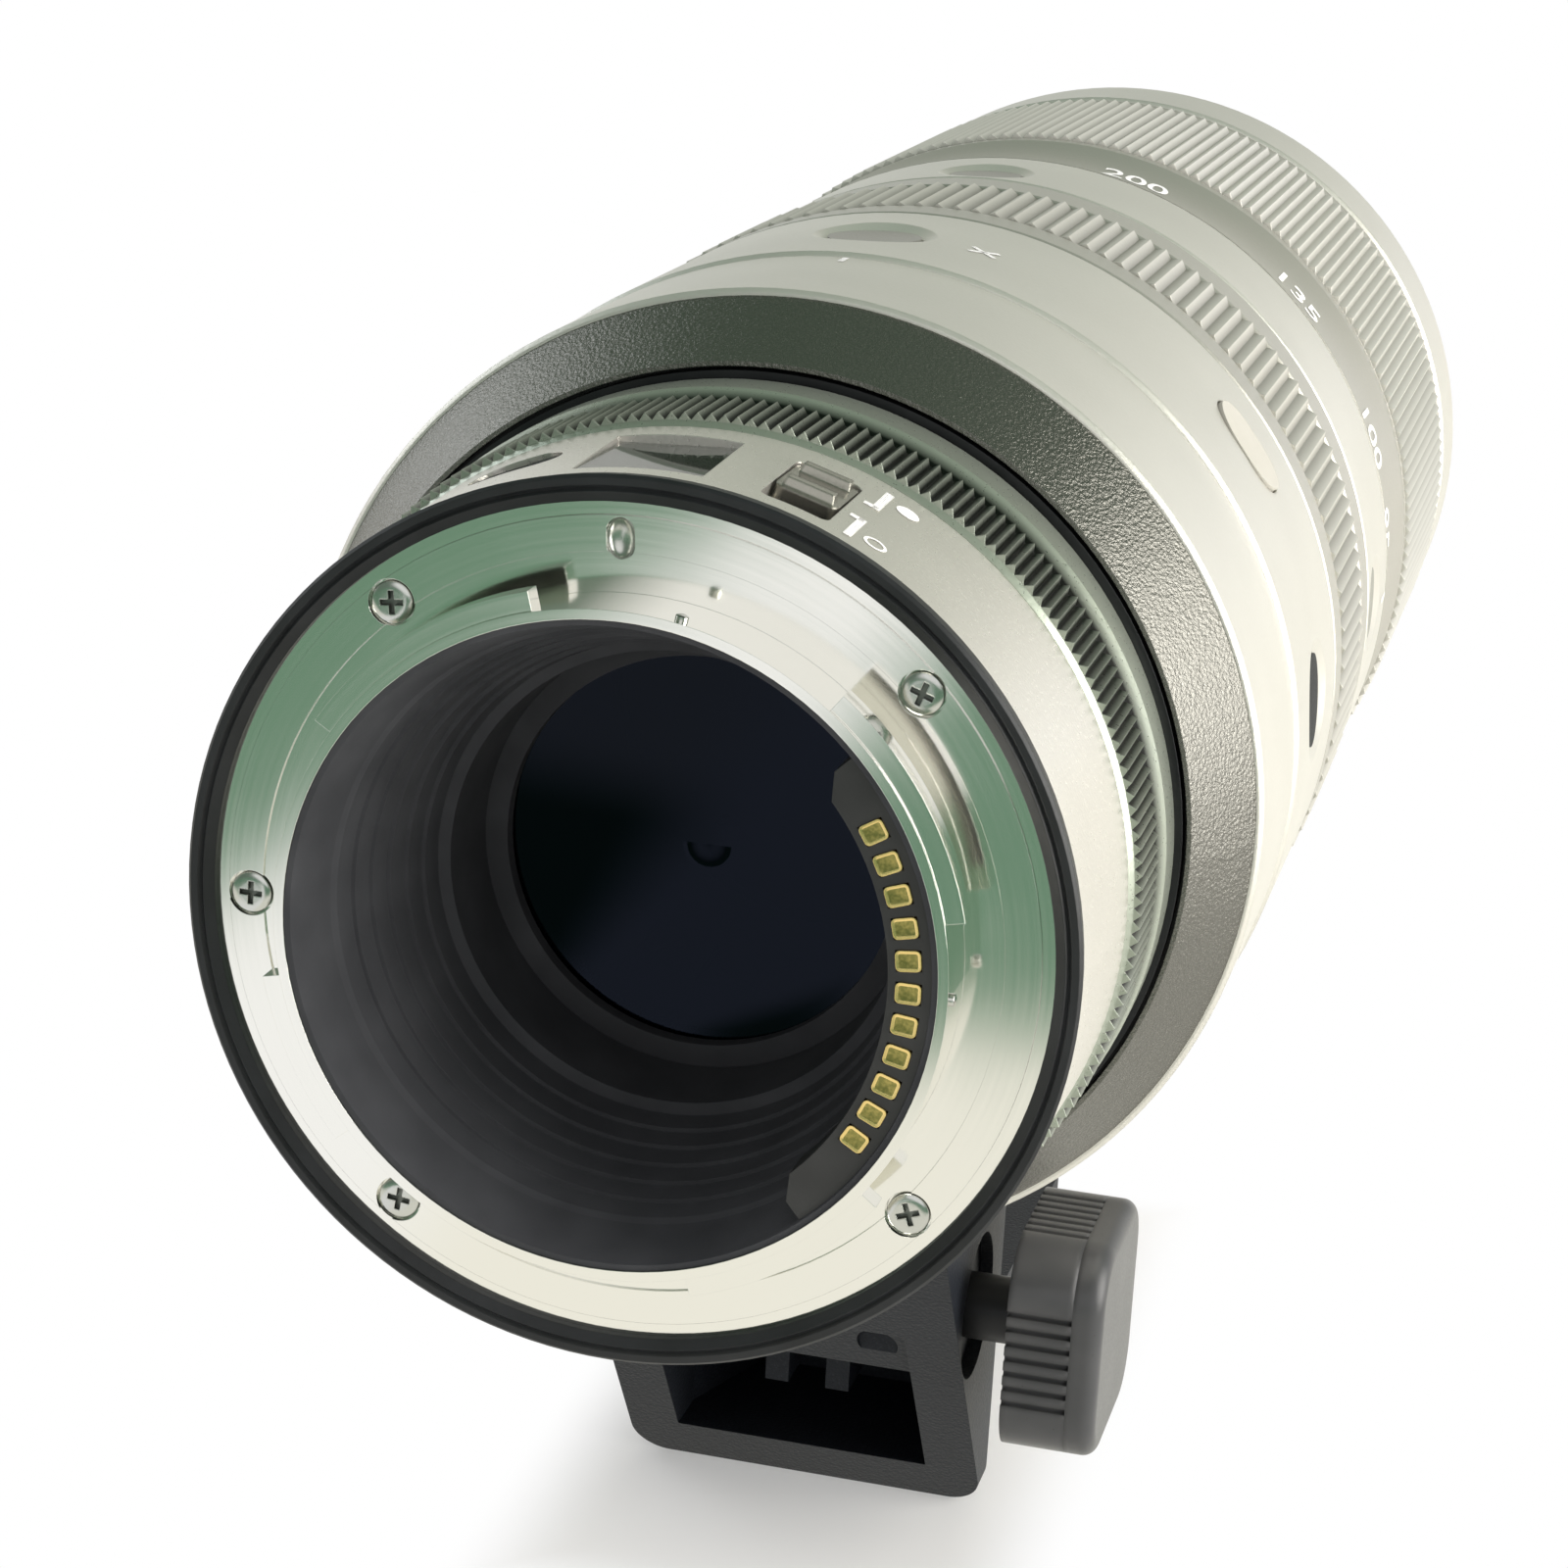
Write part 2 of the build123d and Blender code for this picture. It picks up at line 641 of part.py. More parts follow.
def raised(outline, place, amount, mode=Mode.ADD):
    """Extrude a flat outline outwards from a place on the barrel."""
    with BuildSketch(place) as face:
        add(outline)
    extrude(face.sketch, amount=amount, mode=mode)


def round_outline(radius, flat):
    """D-shaped button, flat towards the mount."""
    with BuildSketch(mode=Mode.PRIVATE) as outline:
        Circle(radius)
        with Locations((-flat - radius, 0)):
            Rectangle(2 * radius, 2 * radius, mode=Mode.SUBTRACT)
    return outline.sketch


def pill_outline(length, width):
    """Long round button that runs round the barrel."""
    with BuildSketch(mode=Mode.PRIVATE) as outline:
        SlotOverall(length, width, rotation=90)
    return outline.sketch


# Mount
screw_places = [polar(mount_screw_circle, angle) for angle in MOUNT_SCREW_ANGLES]

with BuildPart() as mount_ring:
    turned(
        (THROAT_RADIUS, -BAYONET_LENGTH),
        (bayonet_radius, -BAYONET_LENGTH),
        (bayonet_radius, SEAT_STEP),
        (seat_inner_radius, SEAT_STEP),
        (seat_inner_radius, 0),
        (seat_outer_radius, 0),
        (seat_outer_radius, SEAT_STEP),
        (flange_radius, SEAT_STEP),
        (flange_radius, FLANGE_THICKNESS),
        (THROAT_RADIUS, FLANGE_THICKNESS),
    )
    lug_rear = LUG_SETBACK - BAYONET_LENGTH
    for low, high in LUG_SPANS:
        turned(
            (THROAT_RADIUS, lug_rear),
            (lug_radius, lug_rear),
            (lug_radius, lug_rear + LUG_THICKNESS),
            (THROAT_RADIUS, lug_rear + LUG_THICKNESS),
            start=high,
            arc=high - low,
        )
    with BuildSketch(cross_section(0)):
        with Locations(polar(mount_screw_circle, LOCK_RECESS_ANGLE)):
            SlotOverall(LOCK_RECESS_LENGTH, LOCK_RECESS_WIDTH, rotation=LOCK_RECESS_ANGLE)
    extrude(amount=-LOCK_RECESS_DEPTH, mode=Mode.SUBTRACT)
    with Locations(cross_section(0)):
        with Locations(*screw_places):
            Hole(MOUNT_SCREW_HEAD_RADIUS, depth=MOUNT_SCREW_HEAD_DEPTH)
            Hole(MOUNT_SCREW_RADIUS, depth=FLANGE_THICKNESS)

with BuildPart() as mount_screws:
    with BuildSketch(cross_section(0)):
        with Locations(*screw_places):
            Circle(MOUNT_SCREW_HEAD_RADIUS)
    extrude(amount=-MOUNT_SCREW_HEAD_DEPTH)
    with BuildSketch(cross_section(MOUNT_SCREW_HEAD_DEPTH)):
        with Locations(*screw_places):
            Circle(MOUNT_SCREW_RADIUS)
    extrude(amount=MOUNT_SCREW_HEAD_DEPTH - MOUNT_SCREW_LENGTH)
    with BuildSketch(cross_section(0)):
        with Locations(*screw_places):
            Rectangle(SCREW_CROSS_LENGTH, SCREW_CROSS_WIDTH, rotation=SCREW_CROSS_TURN)
            Rectangle(SCREW_CROSS_WIDTH, SCREW_CROSS_LENGTH, rotation=SCREW_CROSS_TURN)
    extrude(amount=-SCREW_CROSS_DEPTH, mode=Mode.SUBTRACT)

with BuildPart() as mount_gasket:
    gasket_radius = flange_radius + GASKET_WIDTH
    gasket_middle = flange_radius + GASKET_WIDTH / 2
    turned(
        (flange_radius, HOUSING_START),
        (flange_radius, -GASKET_RISE / 2),
        (gasket_middle - GASKET_GROOVE, -GASKET_RISE),
        (gasket_middle, GASKET_GROOVE - GASKET_RISE),
        (gasket_middle + GASKET_GROOVE, -GASKET_RISE),
        (gasket_radius - GASKET_GROOVE, -GASKET_RISE),
        (gasket_radius, GASKET_GROOVE - GASKET_RISE),
        (gasket_radius - GASKET_GROOVE, HOUSING_START),
    )

# Contacts
contact_rear = CONTACT_BLOCK_SETBACK - BAYONET_LENGTH
block_start, block_end = CONTACT_BLOCK_SPAN
contact_angles = [(n - (CONTACT_COUNT - 1) / 2) * CONTACT_PITCH for n in range(CONTACT_COUNT)]


def contact_block_body(mode=Mode.ADD):
    turned(
        (contact_block_radius, contact_rear),
        (THROAT_RADIUS, contact_rear),
        (THROAT_RADIUS, contact_rear + CONTACT_BLOCK_DEPTH),
        (contact_block_radius, contact_rear + CONTACT_BLOCK_DEPTH),
        start=block_start,
        arc=block_start - block_end,
        mode=mode,
    )


with BuildPart() as contact_block:
    contact_block_body()
    end_edges = contact_block.edges().filter_by(Axis.Y).sort_by_distance((0, contact_rear, 0))[:2]
    chamfer(end_edges, length=CONTACT_BLOCK_CORNER)
    for angle in contact_angles:
        with Locations(on_barrel(angle, contact_rear + CONTACT_DEPTH / 2, contact_radius)):
            Box(CONTACT_DEPTH, CONTACT_WIDTH, CONTACT_HEIGHT, mode=Mode.SUBTRACT)

with BuildPart() as contact_pins:
    for angle in contact_angles:
        with Locations(on_barrel(angle, contact_rear + (CONTACT_DEPTH - CONTACT_PROUD) / 2, contact_radius)):
            Box(CONTACT_DEPTH + CONTACT_PROUD, CONTACT_WIDTH, CONTACT_HEIGHT)

# Rear housing
window_height = chord_height(housing_radius, WINDOW_WIDTH)
catch_base = main_rear_radius + CATCH_CLEARANCE
switch_top = chord_height(housing_radius, SWITCH_WIDTH) + SWITCH_PROUD
switch_middle = SWITCH_SLOT_START + SWITCH_SLOT_LENGTH - SIDE_GAP - SWITCH_LENGTH / 2
switch_slot_middle = SWITCH_SLOT_START + SWITCH_SLOT_LENGTH / 2
switch_pocket_length = SWITCH_LENGTH + SWITCH_TRAVEL + 2 * CATCH_WIDTH + 2 * SIDE_GAP
switch_pocket_width = SWITCH_WIDTH + 2 * CATCH_WIDTH + 2 * SIDE_GAP
display_catch_base = catch_base + DISPLAY_BUTTON_TRAVEL
display_button_top = housing_radius - DISPLAY_BUTTON_RECESS

with BuildPart() as rear_housing:
    turned(
        (housing_bore, FLANGE_THICKNESS),
        (flange_radius, FLANGE_THICKNESS),
        (flange_radius, HOUSING_START),
        (housing_radius - HOUSING_CHAMFER, HOUSING_START),
        (housing_radius, HOUSING_START + HOUSING_CHAMFER),
        (housing_radius + HOUSING_FLARE, housing_end - HOUSING_CHAMFER),
        (housing_radius + HOUSING_FLARE - HOUSING_CHAMFER, housing_end),
        (housing_bore, housing_end),
    )
    with BuildSketch(on_barrel(WINDOW_ANGLE, WINDOW_AXIAL, housing_bore - CUT_MARGIN)):
        Rectangle(WINDOW_LENGTH, WINDOW_WIDTH)
    extrude(amount=HOUSING_WALL + 2 * CUT_MARGIN, mode=Mode.SUBTRACT)
    with BuildSketch(on_barrel(SWITCH_ANGLE, switch_slot_middle, housing_bore - CUT_MARGIN)):
        RectangleRounded(SWITCH_SLOT_LENGTH, SWITCH_WIDTH + 2 * SIDE_GAP, SWITCH_SLOT_CORNER)
    extrude(amount=HOUSING_WALL + 2 * CUT_MARGIN, mode=Mode.SUBTRACT)
    with BuildSketch(on_barrel(SWITCH_ANGLE, switch_slot_middle, housing_bore - CUT_MARGIN)):
        Rectangle(switch_pocket_length, switch_pocket_width)
    extrude(amount=catch_base + CATCH_THICKNESS + CATCH_FIT - housing_bore + CUT_MARGIN, mode=Mode.SUBTRACT)
    display_place = on_barrel(DISPLAY_BUTTON_ANGLE, DISPLAY_BUTTON_AXIAL, housing_bore - CUT_MARGIN)
    raised(
        pill_outline(DISPLAY_BUTTON_LENGTH + 2 * SIDE_GAP, DISPLAY_BUTTON_WIDTH + 2 * SIDE_GAP),
        display_place,
        HOUSING_WALL + 2 * CUT_MARGIN,
        mode=Mode.SUBTRACT,
    )
    raised(
        pill_outline(
            DISPLAY_BUTTON_LENGTH + 2 * (SIDE_GAP + CATCH_WIDTH),
            DISPLAY_BUTTON_WIDTH + 2 * (SIDE_GAP + CATCH_WIDTH),
        ),
        display_place,
        display_catch_base + CATCH_THICKNESS + CATCH_FIT - housing_bore + CUT_MARGIN,
        mode=Mode.SUBTRACT,
    )

with BuildPart() as display_window:
    with BuildSketch(on_barrel(WINDOW_ANGLE, WINDOW_AXIAL, window_height)):
        Rectangle(WINDOW_LENGTH, WINDOW_WIDTH)
    extrude(amount=-WINDOW_THICKNESS)

with BuildPart() as display_module:
    with BuildSketch(on_barrel(WINDOW_ANGLE, WINDOW_AXIAL, window_height - WINDOW_THICKNESS)):
        Rectangle(WINDOW_LENGTH - 2 * DISPLAY_MARGIN, WINDOW_WIDTH - 2 * DISPLAY_MARGIN)
    extrude(amount=-DISPLAY_THICKNESS)

with BuildPart() as mode_switch:
    with BuildSketch(on_barrel(SWITCH_ANGLE, switch_middle, catch_base)):
        Rectangle(SWITCH_LENGTH + CATCH_WIDTH, SWITCH_WIDTH + 2 * CATCH_WIDTH)
    extrude(amount=CATCH_THICKNESS)
    with BuildSketch(on_barrel(SWITCH_ANGLE, switch_middle, catch_base)):
        RectangleRounded(SWITCH_LENGTH, SWITCH_WIDTH, SWITCH_SLOT_CORNER)
    extrude(amount=switch_top - catch_base)
    ridge_spacing = SWITCH_LENGTH - SWITCH_RIDGE_WIDTH - 2 * SWITCH_RIDGE_SETBACK
    with BuildSketch(on_barrel(SWITCH_ANGLE, switch_middle, switch_top)):
        with GridLocations(ridge_spacing, 1, 2, 1):
            Rectangle(SWITCH_RIDGE_WIDTH, SWITCH_WIDTH - 2 * SWITCH_RIDGE_SETBACK)
    extrude(amount=SWITCH_RIDGE_HEIGHT, taper=SWITCH_RIDGE_TAPER)

with BuildPart() as display_button:
    display_button_place = on_barrel(DISPLAY_BUTTON_ANGLE, DISPLAY_BUTTON_AXIAL, display_catch_base)
    raised(
        pill_outline(DISPLAY_BUTTON_LENGTH + 2 * CATCH_WIDTH, DISPLAY_BUTTON_WIDTH + 2 * CATCH_WIDTH),
        display_button_place,
        CATCH_THICKNESS,
    )
    raised(
        pill_outline(DISPLAY_BUTTON_LENGTH, DISPLAY_BUTTON_WIDTH),
        display_button_place,
        display_button_top - display_catch_base,
    )

# Main barrel, which carries the rear of the lens and the collar
control_step = control_end + RING_GAP

with BuildPart() as main_barrel:
    turned(
        (main_bore, FLANGE_THICKNESS),
        (main_rear_radius, FLANGE_THICKNESS),
        (main_rear_radius, housing_end),
        (control_seat_radius, housing_end),
        (control_seat_radius, control_step),
        (bearing_radius, control_step),
        (bearing_radius, shell_start),
        (fixed_radius, shell_start),
        (fixed_radius, main_end),
        (main_front_bore, main_end),
        (main_front_bore, WEB_START + WEB_THICKNESS),
        (web_radius, WEB_START + WEB_THICKNESS),
        (web_radius, WEB_START),
        (main_bore, WEB_START),
    )
    with BuildSketch(cross_section(FLANGE_THICKNESS)):
        with Locations(*screw_places):
            Circle(MOUNT_SCREW_RADIUS)
    extrude(amount=FLANGE_THICKNESS - MOUNT_SCREW_LENGTH, mode=Mode.SUBTRACT)
    with BuildSketch(cross_section(main_end)):
        with Locations(*[polar(rod_circle, angle) for angle in ROD_ANGLES]):
            Circle(ROD_RADIUS)
    extrude(amount=ROD_SEAT, mode=Mode.SUBTRACT)

with BuildPart() as circuit_board:
    tube(main_bore - BOARD_WIDTH, main_bore, BOARD_START, BOARD_START + BOARD_THICKNESS)

# Control ring
with BuildPart() as control_ring:
    control_bore = control_seat_radius + RUNNING_FIT
    turned(
        (control_bore, control_start),
        (control_root_radius - CONTROL_EDGE, control_start),
        (control_root_radius, control_teeth_start),
        (control_root_radius, control_teeth_end),
        (control_root_radius, control_teeth_end + CONTROL_EDGE),
        (control_band_radius, control_band_start),
        (control_band_radius, control_end - CONTROL_EDGE),
        (control_band_radius - CONTROL_EDGE, control_end),
        (control_bore, control_end),
    )
    ribbed_band(
        CONTROL_TEETH,
        control_root_radius - CONTROL_EDGE,
        control_root_radius,
        control_tip_radius,
        control_teeth_start,
        control_teeth_end,
    )

# Rear light path
baffle_mouth = BAFFLE_MOUTH_SETBACK - BAYONET_LENGTH
ridge_pitch = (BAFFLE_CONE_END - BAFFLE_CONE_START) / BAFFLE_RIDGES
ridge_drop = (baffle_step_radius - baffle_cone_radius) / BAFFLE_RIDGES
ridges = []
for n in range(BAFFLE_RIDGES):
    ridge_radius = baffle_step_radius - n * ridge_drop
    ridge_axial = BAFFLE_CONE_START + n * ridge_pitch
    ridges.append((ridge_radius - BAFFLE_RIDGE_STEP, ridge_axial))
    ridges.append((ridge_radius - ridge_drop, ridge_axial + ridge_pitch))

with BuildPart() as rear_baffle:
    turned(
        (THROAT_RADIUS, baffle_mouth),
        (baffle_mouth_radius, baffle_mouth),
        (baffle_step_radius, 0),
        *ridges,
        (baffle_lip_radius + BAFFLE_RIDGE_STEP, BAFFLE_CONE_END + BAFFLE_RIDGE_STEP),
        (baffle_lip_radius, REAR_CELL_START),
        (baffle_lip_radius + BAFFLE_LIP_WALL, REAR_CELL_START),
        (THROAT_RADIUS, FLANGE_THICKNESS),
    )
    contact_block_body(mode=Mode.SUBTRACT)

rear_glass_start = REAR_CELL_START + REAR_STOP_THICKNESS

with BuildPart() as rear_lens_cell:
    turned(
        (rear_stop_radius, REAR_CELL_START),
        (rear_cell_radius, REAR_CELL_START),
        (rear_cell_radius, WEB_START),
        (web_radius, WEB_START),
        (rear_glass_radius, rear_glass_start + REAR_GLASS_RIM + REAR_SEAT_GAP),
        (rear_glass_radius, rear_glass_start),
        (rear_stop_radius, rear_glass_start),
    )

with BuildPart() as rear_glass:
    glass_element(
        rear_glass_radius,
        rear_glass_start,
        REAR_GLASS_RIM,
        -REAR_GLASS_HOLLOW,
        REAR_GLASS_CROWN,
    )

# Tripod collar
with BuildPart() as collar_rear_cover:
    turned(
        (collar_mouth_radius, collar_start),
        (collar_rear_radius, collar_start),
        (collar_bevel_radius, bevel_end),
        (liner_radius, bevel_end),
        (liner_radius, liner_start),
        (collar_mouth_radius, liner_start),
    )

with BuildPart() as collar_ring:
    turned(
        (liner_radius, bevel_end),
        (collar_radius - COLLAR_EDGE, bevel_end),
        (collar_radius, bevel_end + COLLAR_EDGE),
        (collar_radius, collar_end - COLLAR_EDGE),
        (collar_radius - COLLAR_EDGE, collar_end),
        (liner_radius, collar_end),
    )

with BuildPart() as collar_liner:
    tube(collar_bore, liner_radius, liner_start, collar_end)

with BuildPart() as collar_retainer:
    tube(bearing_radius, bearing_radius + RETAINER_HEIGHT, collar_start, retainer_end)

# Collar neck with the dovetail tongue
foot_plan = (
    (-FOOT_HALF_WIDTH, 0),
    (FOOT_HALF_WIDTH, 0),
    (FOOT_HALF_WIDTH, foot_wide_end),
    (toe_half_width, toe_start),
    (toe_half_width, toe_end),
    (-toe_half_width, toe_end),
    (-toe_half_width, toe_start),
    (-FOOT_HALF_WIDTH, foot_wide_end),
)


def keep_inside_plan(bottom, top):
    with BuildSketch(Plane.XY.offset(bottom)) as plan:
        with BuildLine():
            Polyline(*foot_plan, close=True)
        make_face()
        fillet(plan.vertices().group_by(Axis.Y)[-1], TOE_CORNER_RADIUS)
    extrude(plan.sketch, amount=top - bottom, mode=Mode.INTERSECT)


def cut_dish():
    with BuildSketch(Plane.YZ.offset(FOOT_HALF_WIDTH - DISH_DEPTH)) as dish:
        with Locations((clamp_axial, clamp_z)):
            Circle(DISH_RADIUS)
    extrude(dish.sketch, amount=DISH_DEPTH, mode=Mode.SUBTRACT)


def tongue_outline(left, right, top, bottom):
    """Dovetail section, wider below, cut along the axis."""
    return (
        (left + TONGUE_DOVETAIL, top),
        (right - TONGUE_DOVETAIL, top),
        (right, bottom),
        (left, bottom),
    )


with BuildPart() as collar_neck:
    with BuildSketch(Plane.YZ) as neck_side:
        with BuildLine():
            Polyline(
                (rear_face(neck_top_z), neck_top_z),
                (rear_face(seam_z), seam_z),
                (neck_front, seam_z),
                (neck_front, seam_z + NECK_FRONT_THICKNESS),
                (collar_end, neck_shoulder_z),
                (collar_end, neck_top_z),
                close=True,
            )
        make_face()
    extrude(neck_side.sketch, amount=FOOT_HALF_WIDTH, both=True)
    keep_inside_plan(seam_z, neck_top_z)
    with BuildSketch(cross_section(0)) as collar_round:
        Circle(collar_radius)
    extrude(collar_round.sketch, amount=-collar_end, mode=Mode.SUBTRACT)
    with BuildSketch(cross_section(tongue_start)) as tongue:
        with BuildLine():
            Polyline(*tongue_outline(TONGUE_LEFT, TONGUE_RIGHT, seam_z, tongue_bottom_z), close=True)
        make_face()
    extrude(tongue.sketch, amount=tongue_start - tongue_end)
    cut_dish()
    with BuildSketch(Plane.XY.offset(tongue_bottom_z)) as screw_thread:
        with Locations((0, foot_screw_axial)):
            Circle(FOOT_SCREW_RADIUS)
    extrude(screw_thread.sketch, amount=FOOT_SCREW_GRIP, mode=Mode.SUBTRACT)

# Tripod foot
rib_bottom_z = cavity_top_z - RIB_HEIGHT
channel_start = tongue_start - CHANNEL_REAR_GAP

with BuildPart() as tripod_foot:
    with BuildSketch(Plane.YZ) as foot_side:
        with BuildLine():
            Polyline(
                (toe_end, toe_top_z),
                (toe_end, foot_bottom_z),
                (rear_face(foot_bottom_z), foot_bottom_z),
                (rear_face(seam_z), seam_z),
                (neck_front, seam_z),
                (neck_front, seam_z - TOE_BLEND_DROP),
            )
            Spline(
                (neck_front, seam_z - TOE_BLEND_DROP),
                (toe_shoulder, toe_top_z),
                tangents=((0, -1), (1, 0)),
            )
            Line((toe_shoulder, toe_top_z), (toe_end, toe_top_z))
        make_face()
    extrude(foot_side.sketch, amount=FOOT_HALF_WIDTH, both=True)
    keep_inside_plan(foot_bottom_z, seam_z)
    bottom_edges = tripod_foot.faces().sort_by(Axis.Z)[0].edges()
    fillet(bottom_edges.filter_by(Axis.Y), FOOT_EDGE_RADIUS)
    with BuildSketch(Plane.XY.offset(cavity_floor_z)) as cavity:
        with BuildLine():
            Polyline(
                (-window_half_width, 0),
                (window_half_width, 0),
                (window_half_width, foot_wide_end),
                (cavity_end_half_width, cavity_end),
                (-cavity_end_half_width, cavity_end),
                (-window_half_width, foot_wide_end),
                close=True,
            )
        make_face()
    extrude(cavity.sketch, amount=cavity_top_z - cavity_floor_z, mode=Mode.SUBTRACT)
    with BuildSketch(Plane.YZ) as relief:
        with BuildLine():
            Polyline(
                (rear_face(window_top_z) - CUT_MARGIN, window_top_z),
                (rear_face(window_top_z) + WINDOW_RELIEF, window_top_z),
                (rear_face(cavity_floor_z) + WINDOW_RELIEF, cavity_floor_z),
                (rear_face(cavity_floor_z) - CUT_MARGIN, cavity_floor_z),
                close=True,
            )
        make_face()
    extrude(relief.sketch, amount=window_half_width, both=True, mode=Mode.SUBTRACT)
    with BuildSketch(Plane.XY.offset(cavity_top_z)) as ribs:
        with Locations((-RIB_OFFSET, rib_start), (RIB_OFFSET, rib_start)):
            Rectangle(RIB_THICKNESS, cavity_end - rib_start, align=(Align.CENTER, Align.MIN))
    extrude(ribs.sketch, amount=-RIB_HEIGHT)
    with BuildSketch(cross_section(channel_start)) as channel:
        with BuildLine():
            Polyline(
                (TONGUE_LEFT + TONGUE_DOVETAIL - FOOT_FIT, seam_z),
                (channel_right, seam_z),
                (channel_right, channel_floor_z),
                (TONGUE_LEFT - FOOT_FIT, channel_floor_z),
                close=True,
            )
        make_face()
    extrude(channel.sketch, amount=channel_start - neck_front, mode=Mode.SUBTRACT)
    with BuildSketch(Plane.XZ.offset(-rear_face(sight_hole_z))) as sight_hole:
        with Locations((sight_hole_x, sight_hole_z)):
            Circle(SIGHT_HOLE_RADIUS)
    extrude(sight_hole.sketch, amount=-WINDOW_RELIEF - SIGHT_HOLE_DEPTH, mode=Mode.SUBTRACT)
    cut_dish()
    with BuildSketch(Plane.YZ.offset(channel_right)) as stem_hole:
        with Locations((clamp_axial, clamp_z)):
            Circle(STEM_RADIUS + STEM_FIT)
    extrude(stem_hole.sketch, amount=FOOT_HALF_WIDTH - channel_right, mode=Mode.SUBTRACT)
    with BuildSketch(Plane.XY.offset(cavity_top_z)) as foot_screw_hole:
        with Locations((0, foot_screw_axial)):
            Circle(FOOT_SCREW_RADIUS)
    extrude(foot_screw_hole.sketch, amount=channel_floor_z - cavity_top_z, mode=Mode.SUBTRACT)
    with BuildSketch(Plane.XY.offset(foot_bottom_z)) as bush_hole:
        with Locations((0, bush_axial)):
            Circle(BUSH_RADIUS)
    extrude(bush_hole.sketch, amount=TOE_THICKNESS, mode=Mode.SUBTRACT)
    with BuildSketch(Plane.XY.offset(foot_bottom_z)) as pin_hole:
        with Locations((0, pin_hole_axial)):
            Circle(PIN_HOLE_RADIUS)
    extrude(pin_hole.sketch, amount=PIN_HOLE_DEPTH, mode=Mode.SUBTRACT)

with BuildPart() as tripod_bush:
    with BuildSketch(Plane.XY.offset(foot_bottom_z)):
        with Locations((0, bush_axial)):
            Circle(BUSH_RADIUS)
            Circle(BUSH_BORE, mode=Mode.SUBTRACT)
    extrude(amount=TOE_THICKNESS)

with BuildPart() as foot_screw:
    with BuildSketch(Plane.XY.offset(cavity_top_z)) as screw_head:
        with Locations((0, foot_screw_axial)):
            Circle(FOOT_SCREW_HEAD_RADIUS)
            RegularPolygon(FOOT_SCREW_HEAD_RADIUS / 2, 6, mode=Mode.SUBTRACT)
    extrude(screw_head.sketch, amount=-FOOT_SCREW_HEAD_HEIGHT)
    with BuildSketch(Plane.XY.offset(cavity_top_z)) as screw_shank:
        with Locations((0, foot_screw_axial)):
            Circle(FOOT_SCREW_RADIUS)
    shank_top_z = tongue_bottom_z + FOOT_SCREW_GRIP
    extrude(screw_shank.sketch, amount=shank_top_z - cavity_top_z)

# Foot clamp: the knob draws the jaw on its screw
with BuildPart() as clamp_jaw:
    with BuildSketch(cross_section(jaw_start)) as jaw_section:
        with BuildLine():
            Polyline(
                (jaw_left - TONGUE_DOVETAIL, seam_z - FOOT_FIT),
                (jaw_right, seam_z - FOOT_FIT),
                (jaw_right, tongue_bottom_z),
                (jaw_left, tongue_bottom_z),
                close=True,
            )
        make_face()
    extrude(jaw_section.sketch, amount=jaw_start - jaw_end)
    with BuildSketch(Plane.YZ.offset(jaw_right)) as tip_hole:
        with Locations((clamp_axial, clamp_z)):
            Circle(SCREW_TIP_RADIUS + STEM_FIT)
    extrude(tip_hole.sketch, amount=-SCREW_TIP_DEPTH - STEM_FIT, mode=Mode.SUBTRACT)

with BuildPart() as clamp_screw:
    with BuildSketch(Plane.YZ.offset(jaw_right - SCREW_TIP_DEPTH)) as screw_tip:
        with Locations((clamp_axial, clamp_z)):
            Circle(SCREW_TIP_RADIUS)
    extrude(screw_tip.sketch, amount=SCREW_TIP_DEPTH + CLAMP_TRAVEL + JAW_STOP_GAP)
    with BuildSketch(Plane.YZ.offset(channel_right)) as stem:
        with Locations((clamp_axial, clamp_z)):
            Circle(STEM_RADIUS)
    extrude(stem.sketch, amount=knob_start + STEM_DEPTH - channel_right)

groove_edge = (KNOB_WIDTH - KNOB_GROOVE_DEPTH) / 2

with BuildPart() as clamp_knob:
    with BuildSketch(Plane.YZ.offset(knob_start)) as knob_section:
        with Locations((clamp_axial, clamp_z)):
            RectangleRounded(KNOB_WIDTH, KNOB_WIDTH, KNOB_CORNER_RADIUS)
            with PolarLocations(0, 4):
                with Locations((groove_edge, 0)):
                    with GridLocations(1, KNOB_GROOVE_PITCH, 1, KNOB_GROOVES):
                        Rectangle(KNOB_GROOVE_DEPTH, KNOB_GROOVE_WIDTH, mode=Mode.SUBTRACT)
    extrude(knob_section.sketch, amount=KNOB_LENGTH)
    with BuildSketch(Plane.YZ.offset(knob_start)) as knob_bore:
        with Locations((clamp_axial, clamp_z)):
            Circle(STEM_RADIUS)
    extrude(knob_bore.sketch, amount=STEM_DEPTH, mode=Mode.SUBTRACT)

with BuildPart() as knob_cap:
    with BuildSketch(Plane.YZ.offset(knob_cap_start)) as cap_section:
        with Locations((clamp_axial, clamp_z)):
            RectangleRounded(KNOB_WIDTH, KNOB_WIDTH, KNOB_CORNER_RADIUS)
    extrude(cap_section.sketch, amount=KNOB_CAP_LENGTH)
    fillet(knob_cap.edges().group_by(Axis.X)[-1], KNOB_CAP_EDGE)

# Buttons in the shells
button_base = fixed_radius + CATCH_CLEARANCE + BUTTON_TRAVEL
button_top = SHELL_RADIUS - BUTTON_RECESS
pocket_base = fixed_radius - CUT_MARGIN


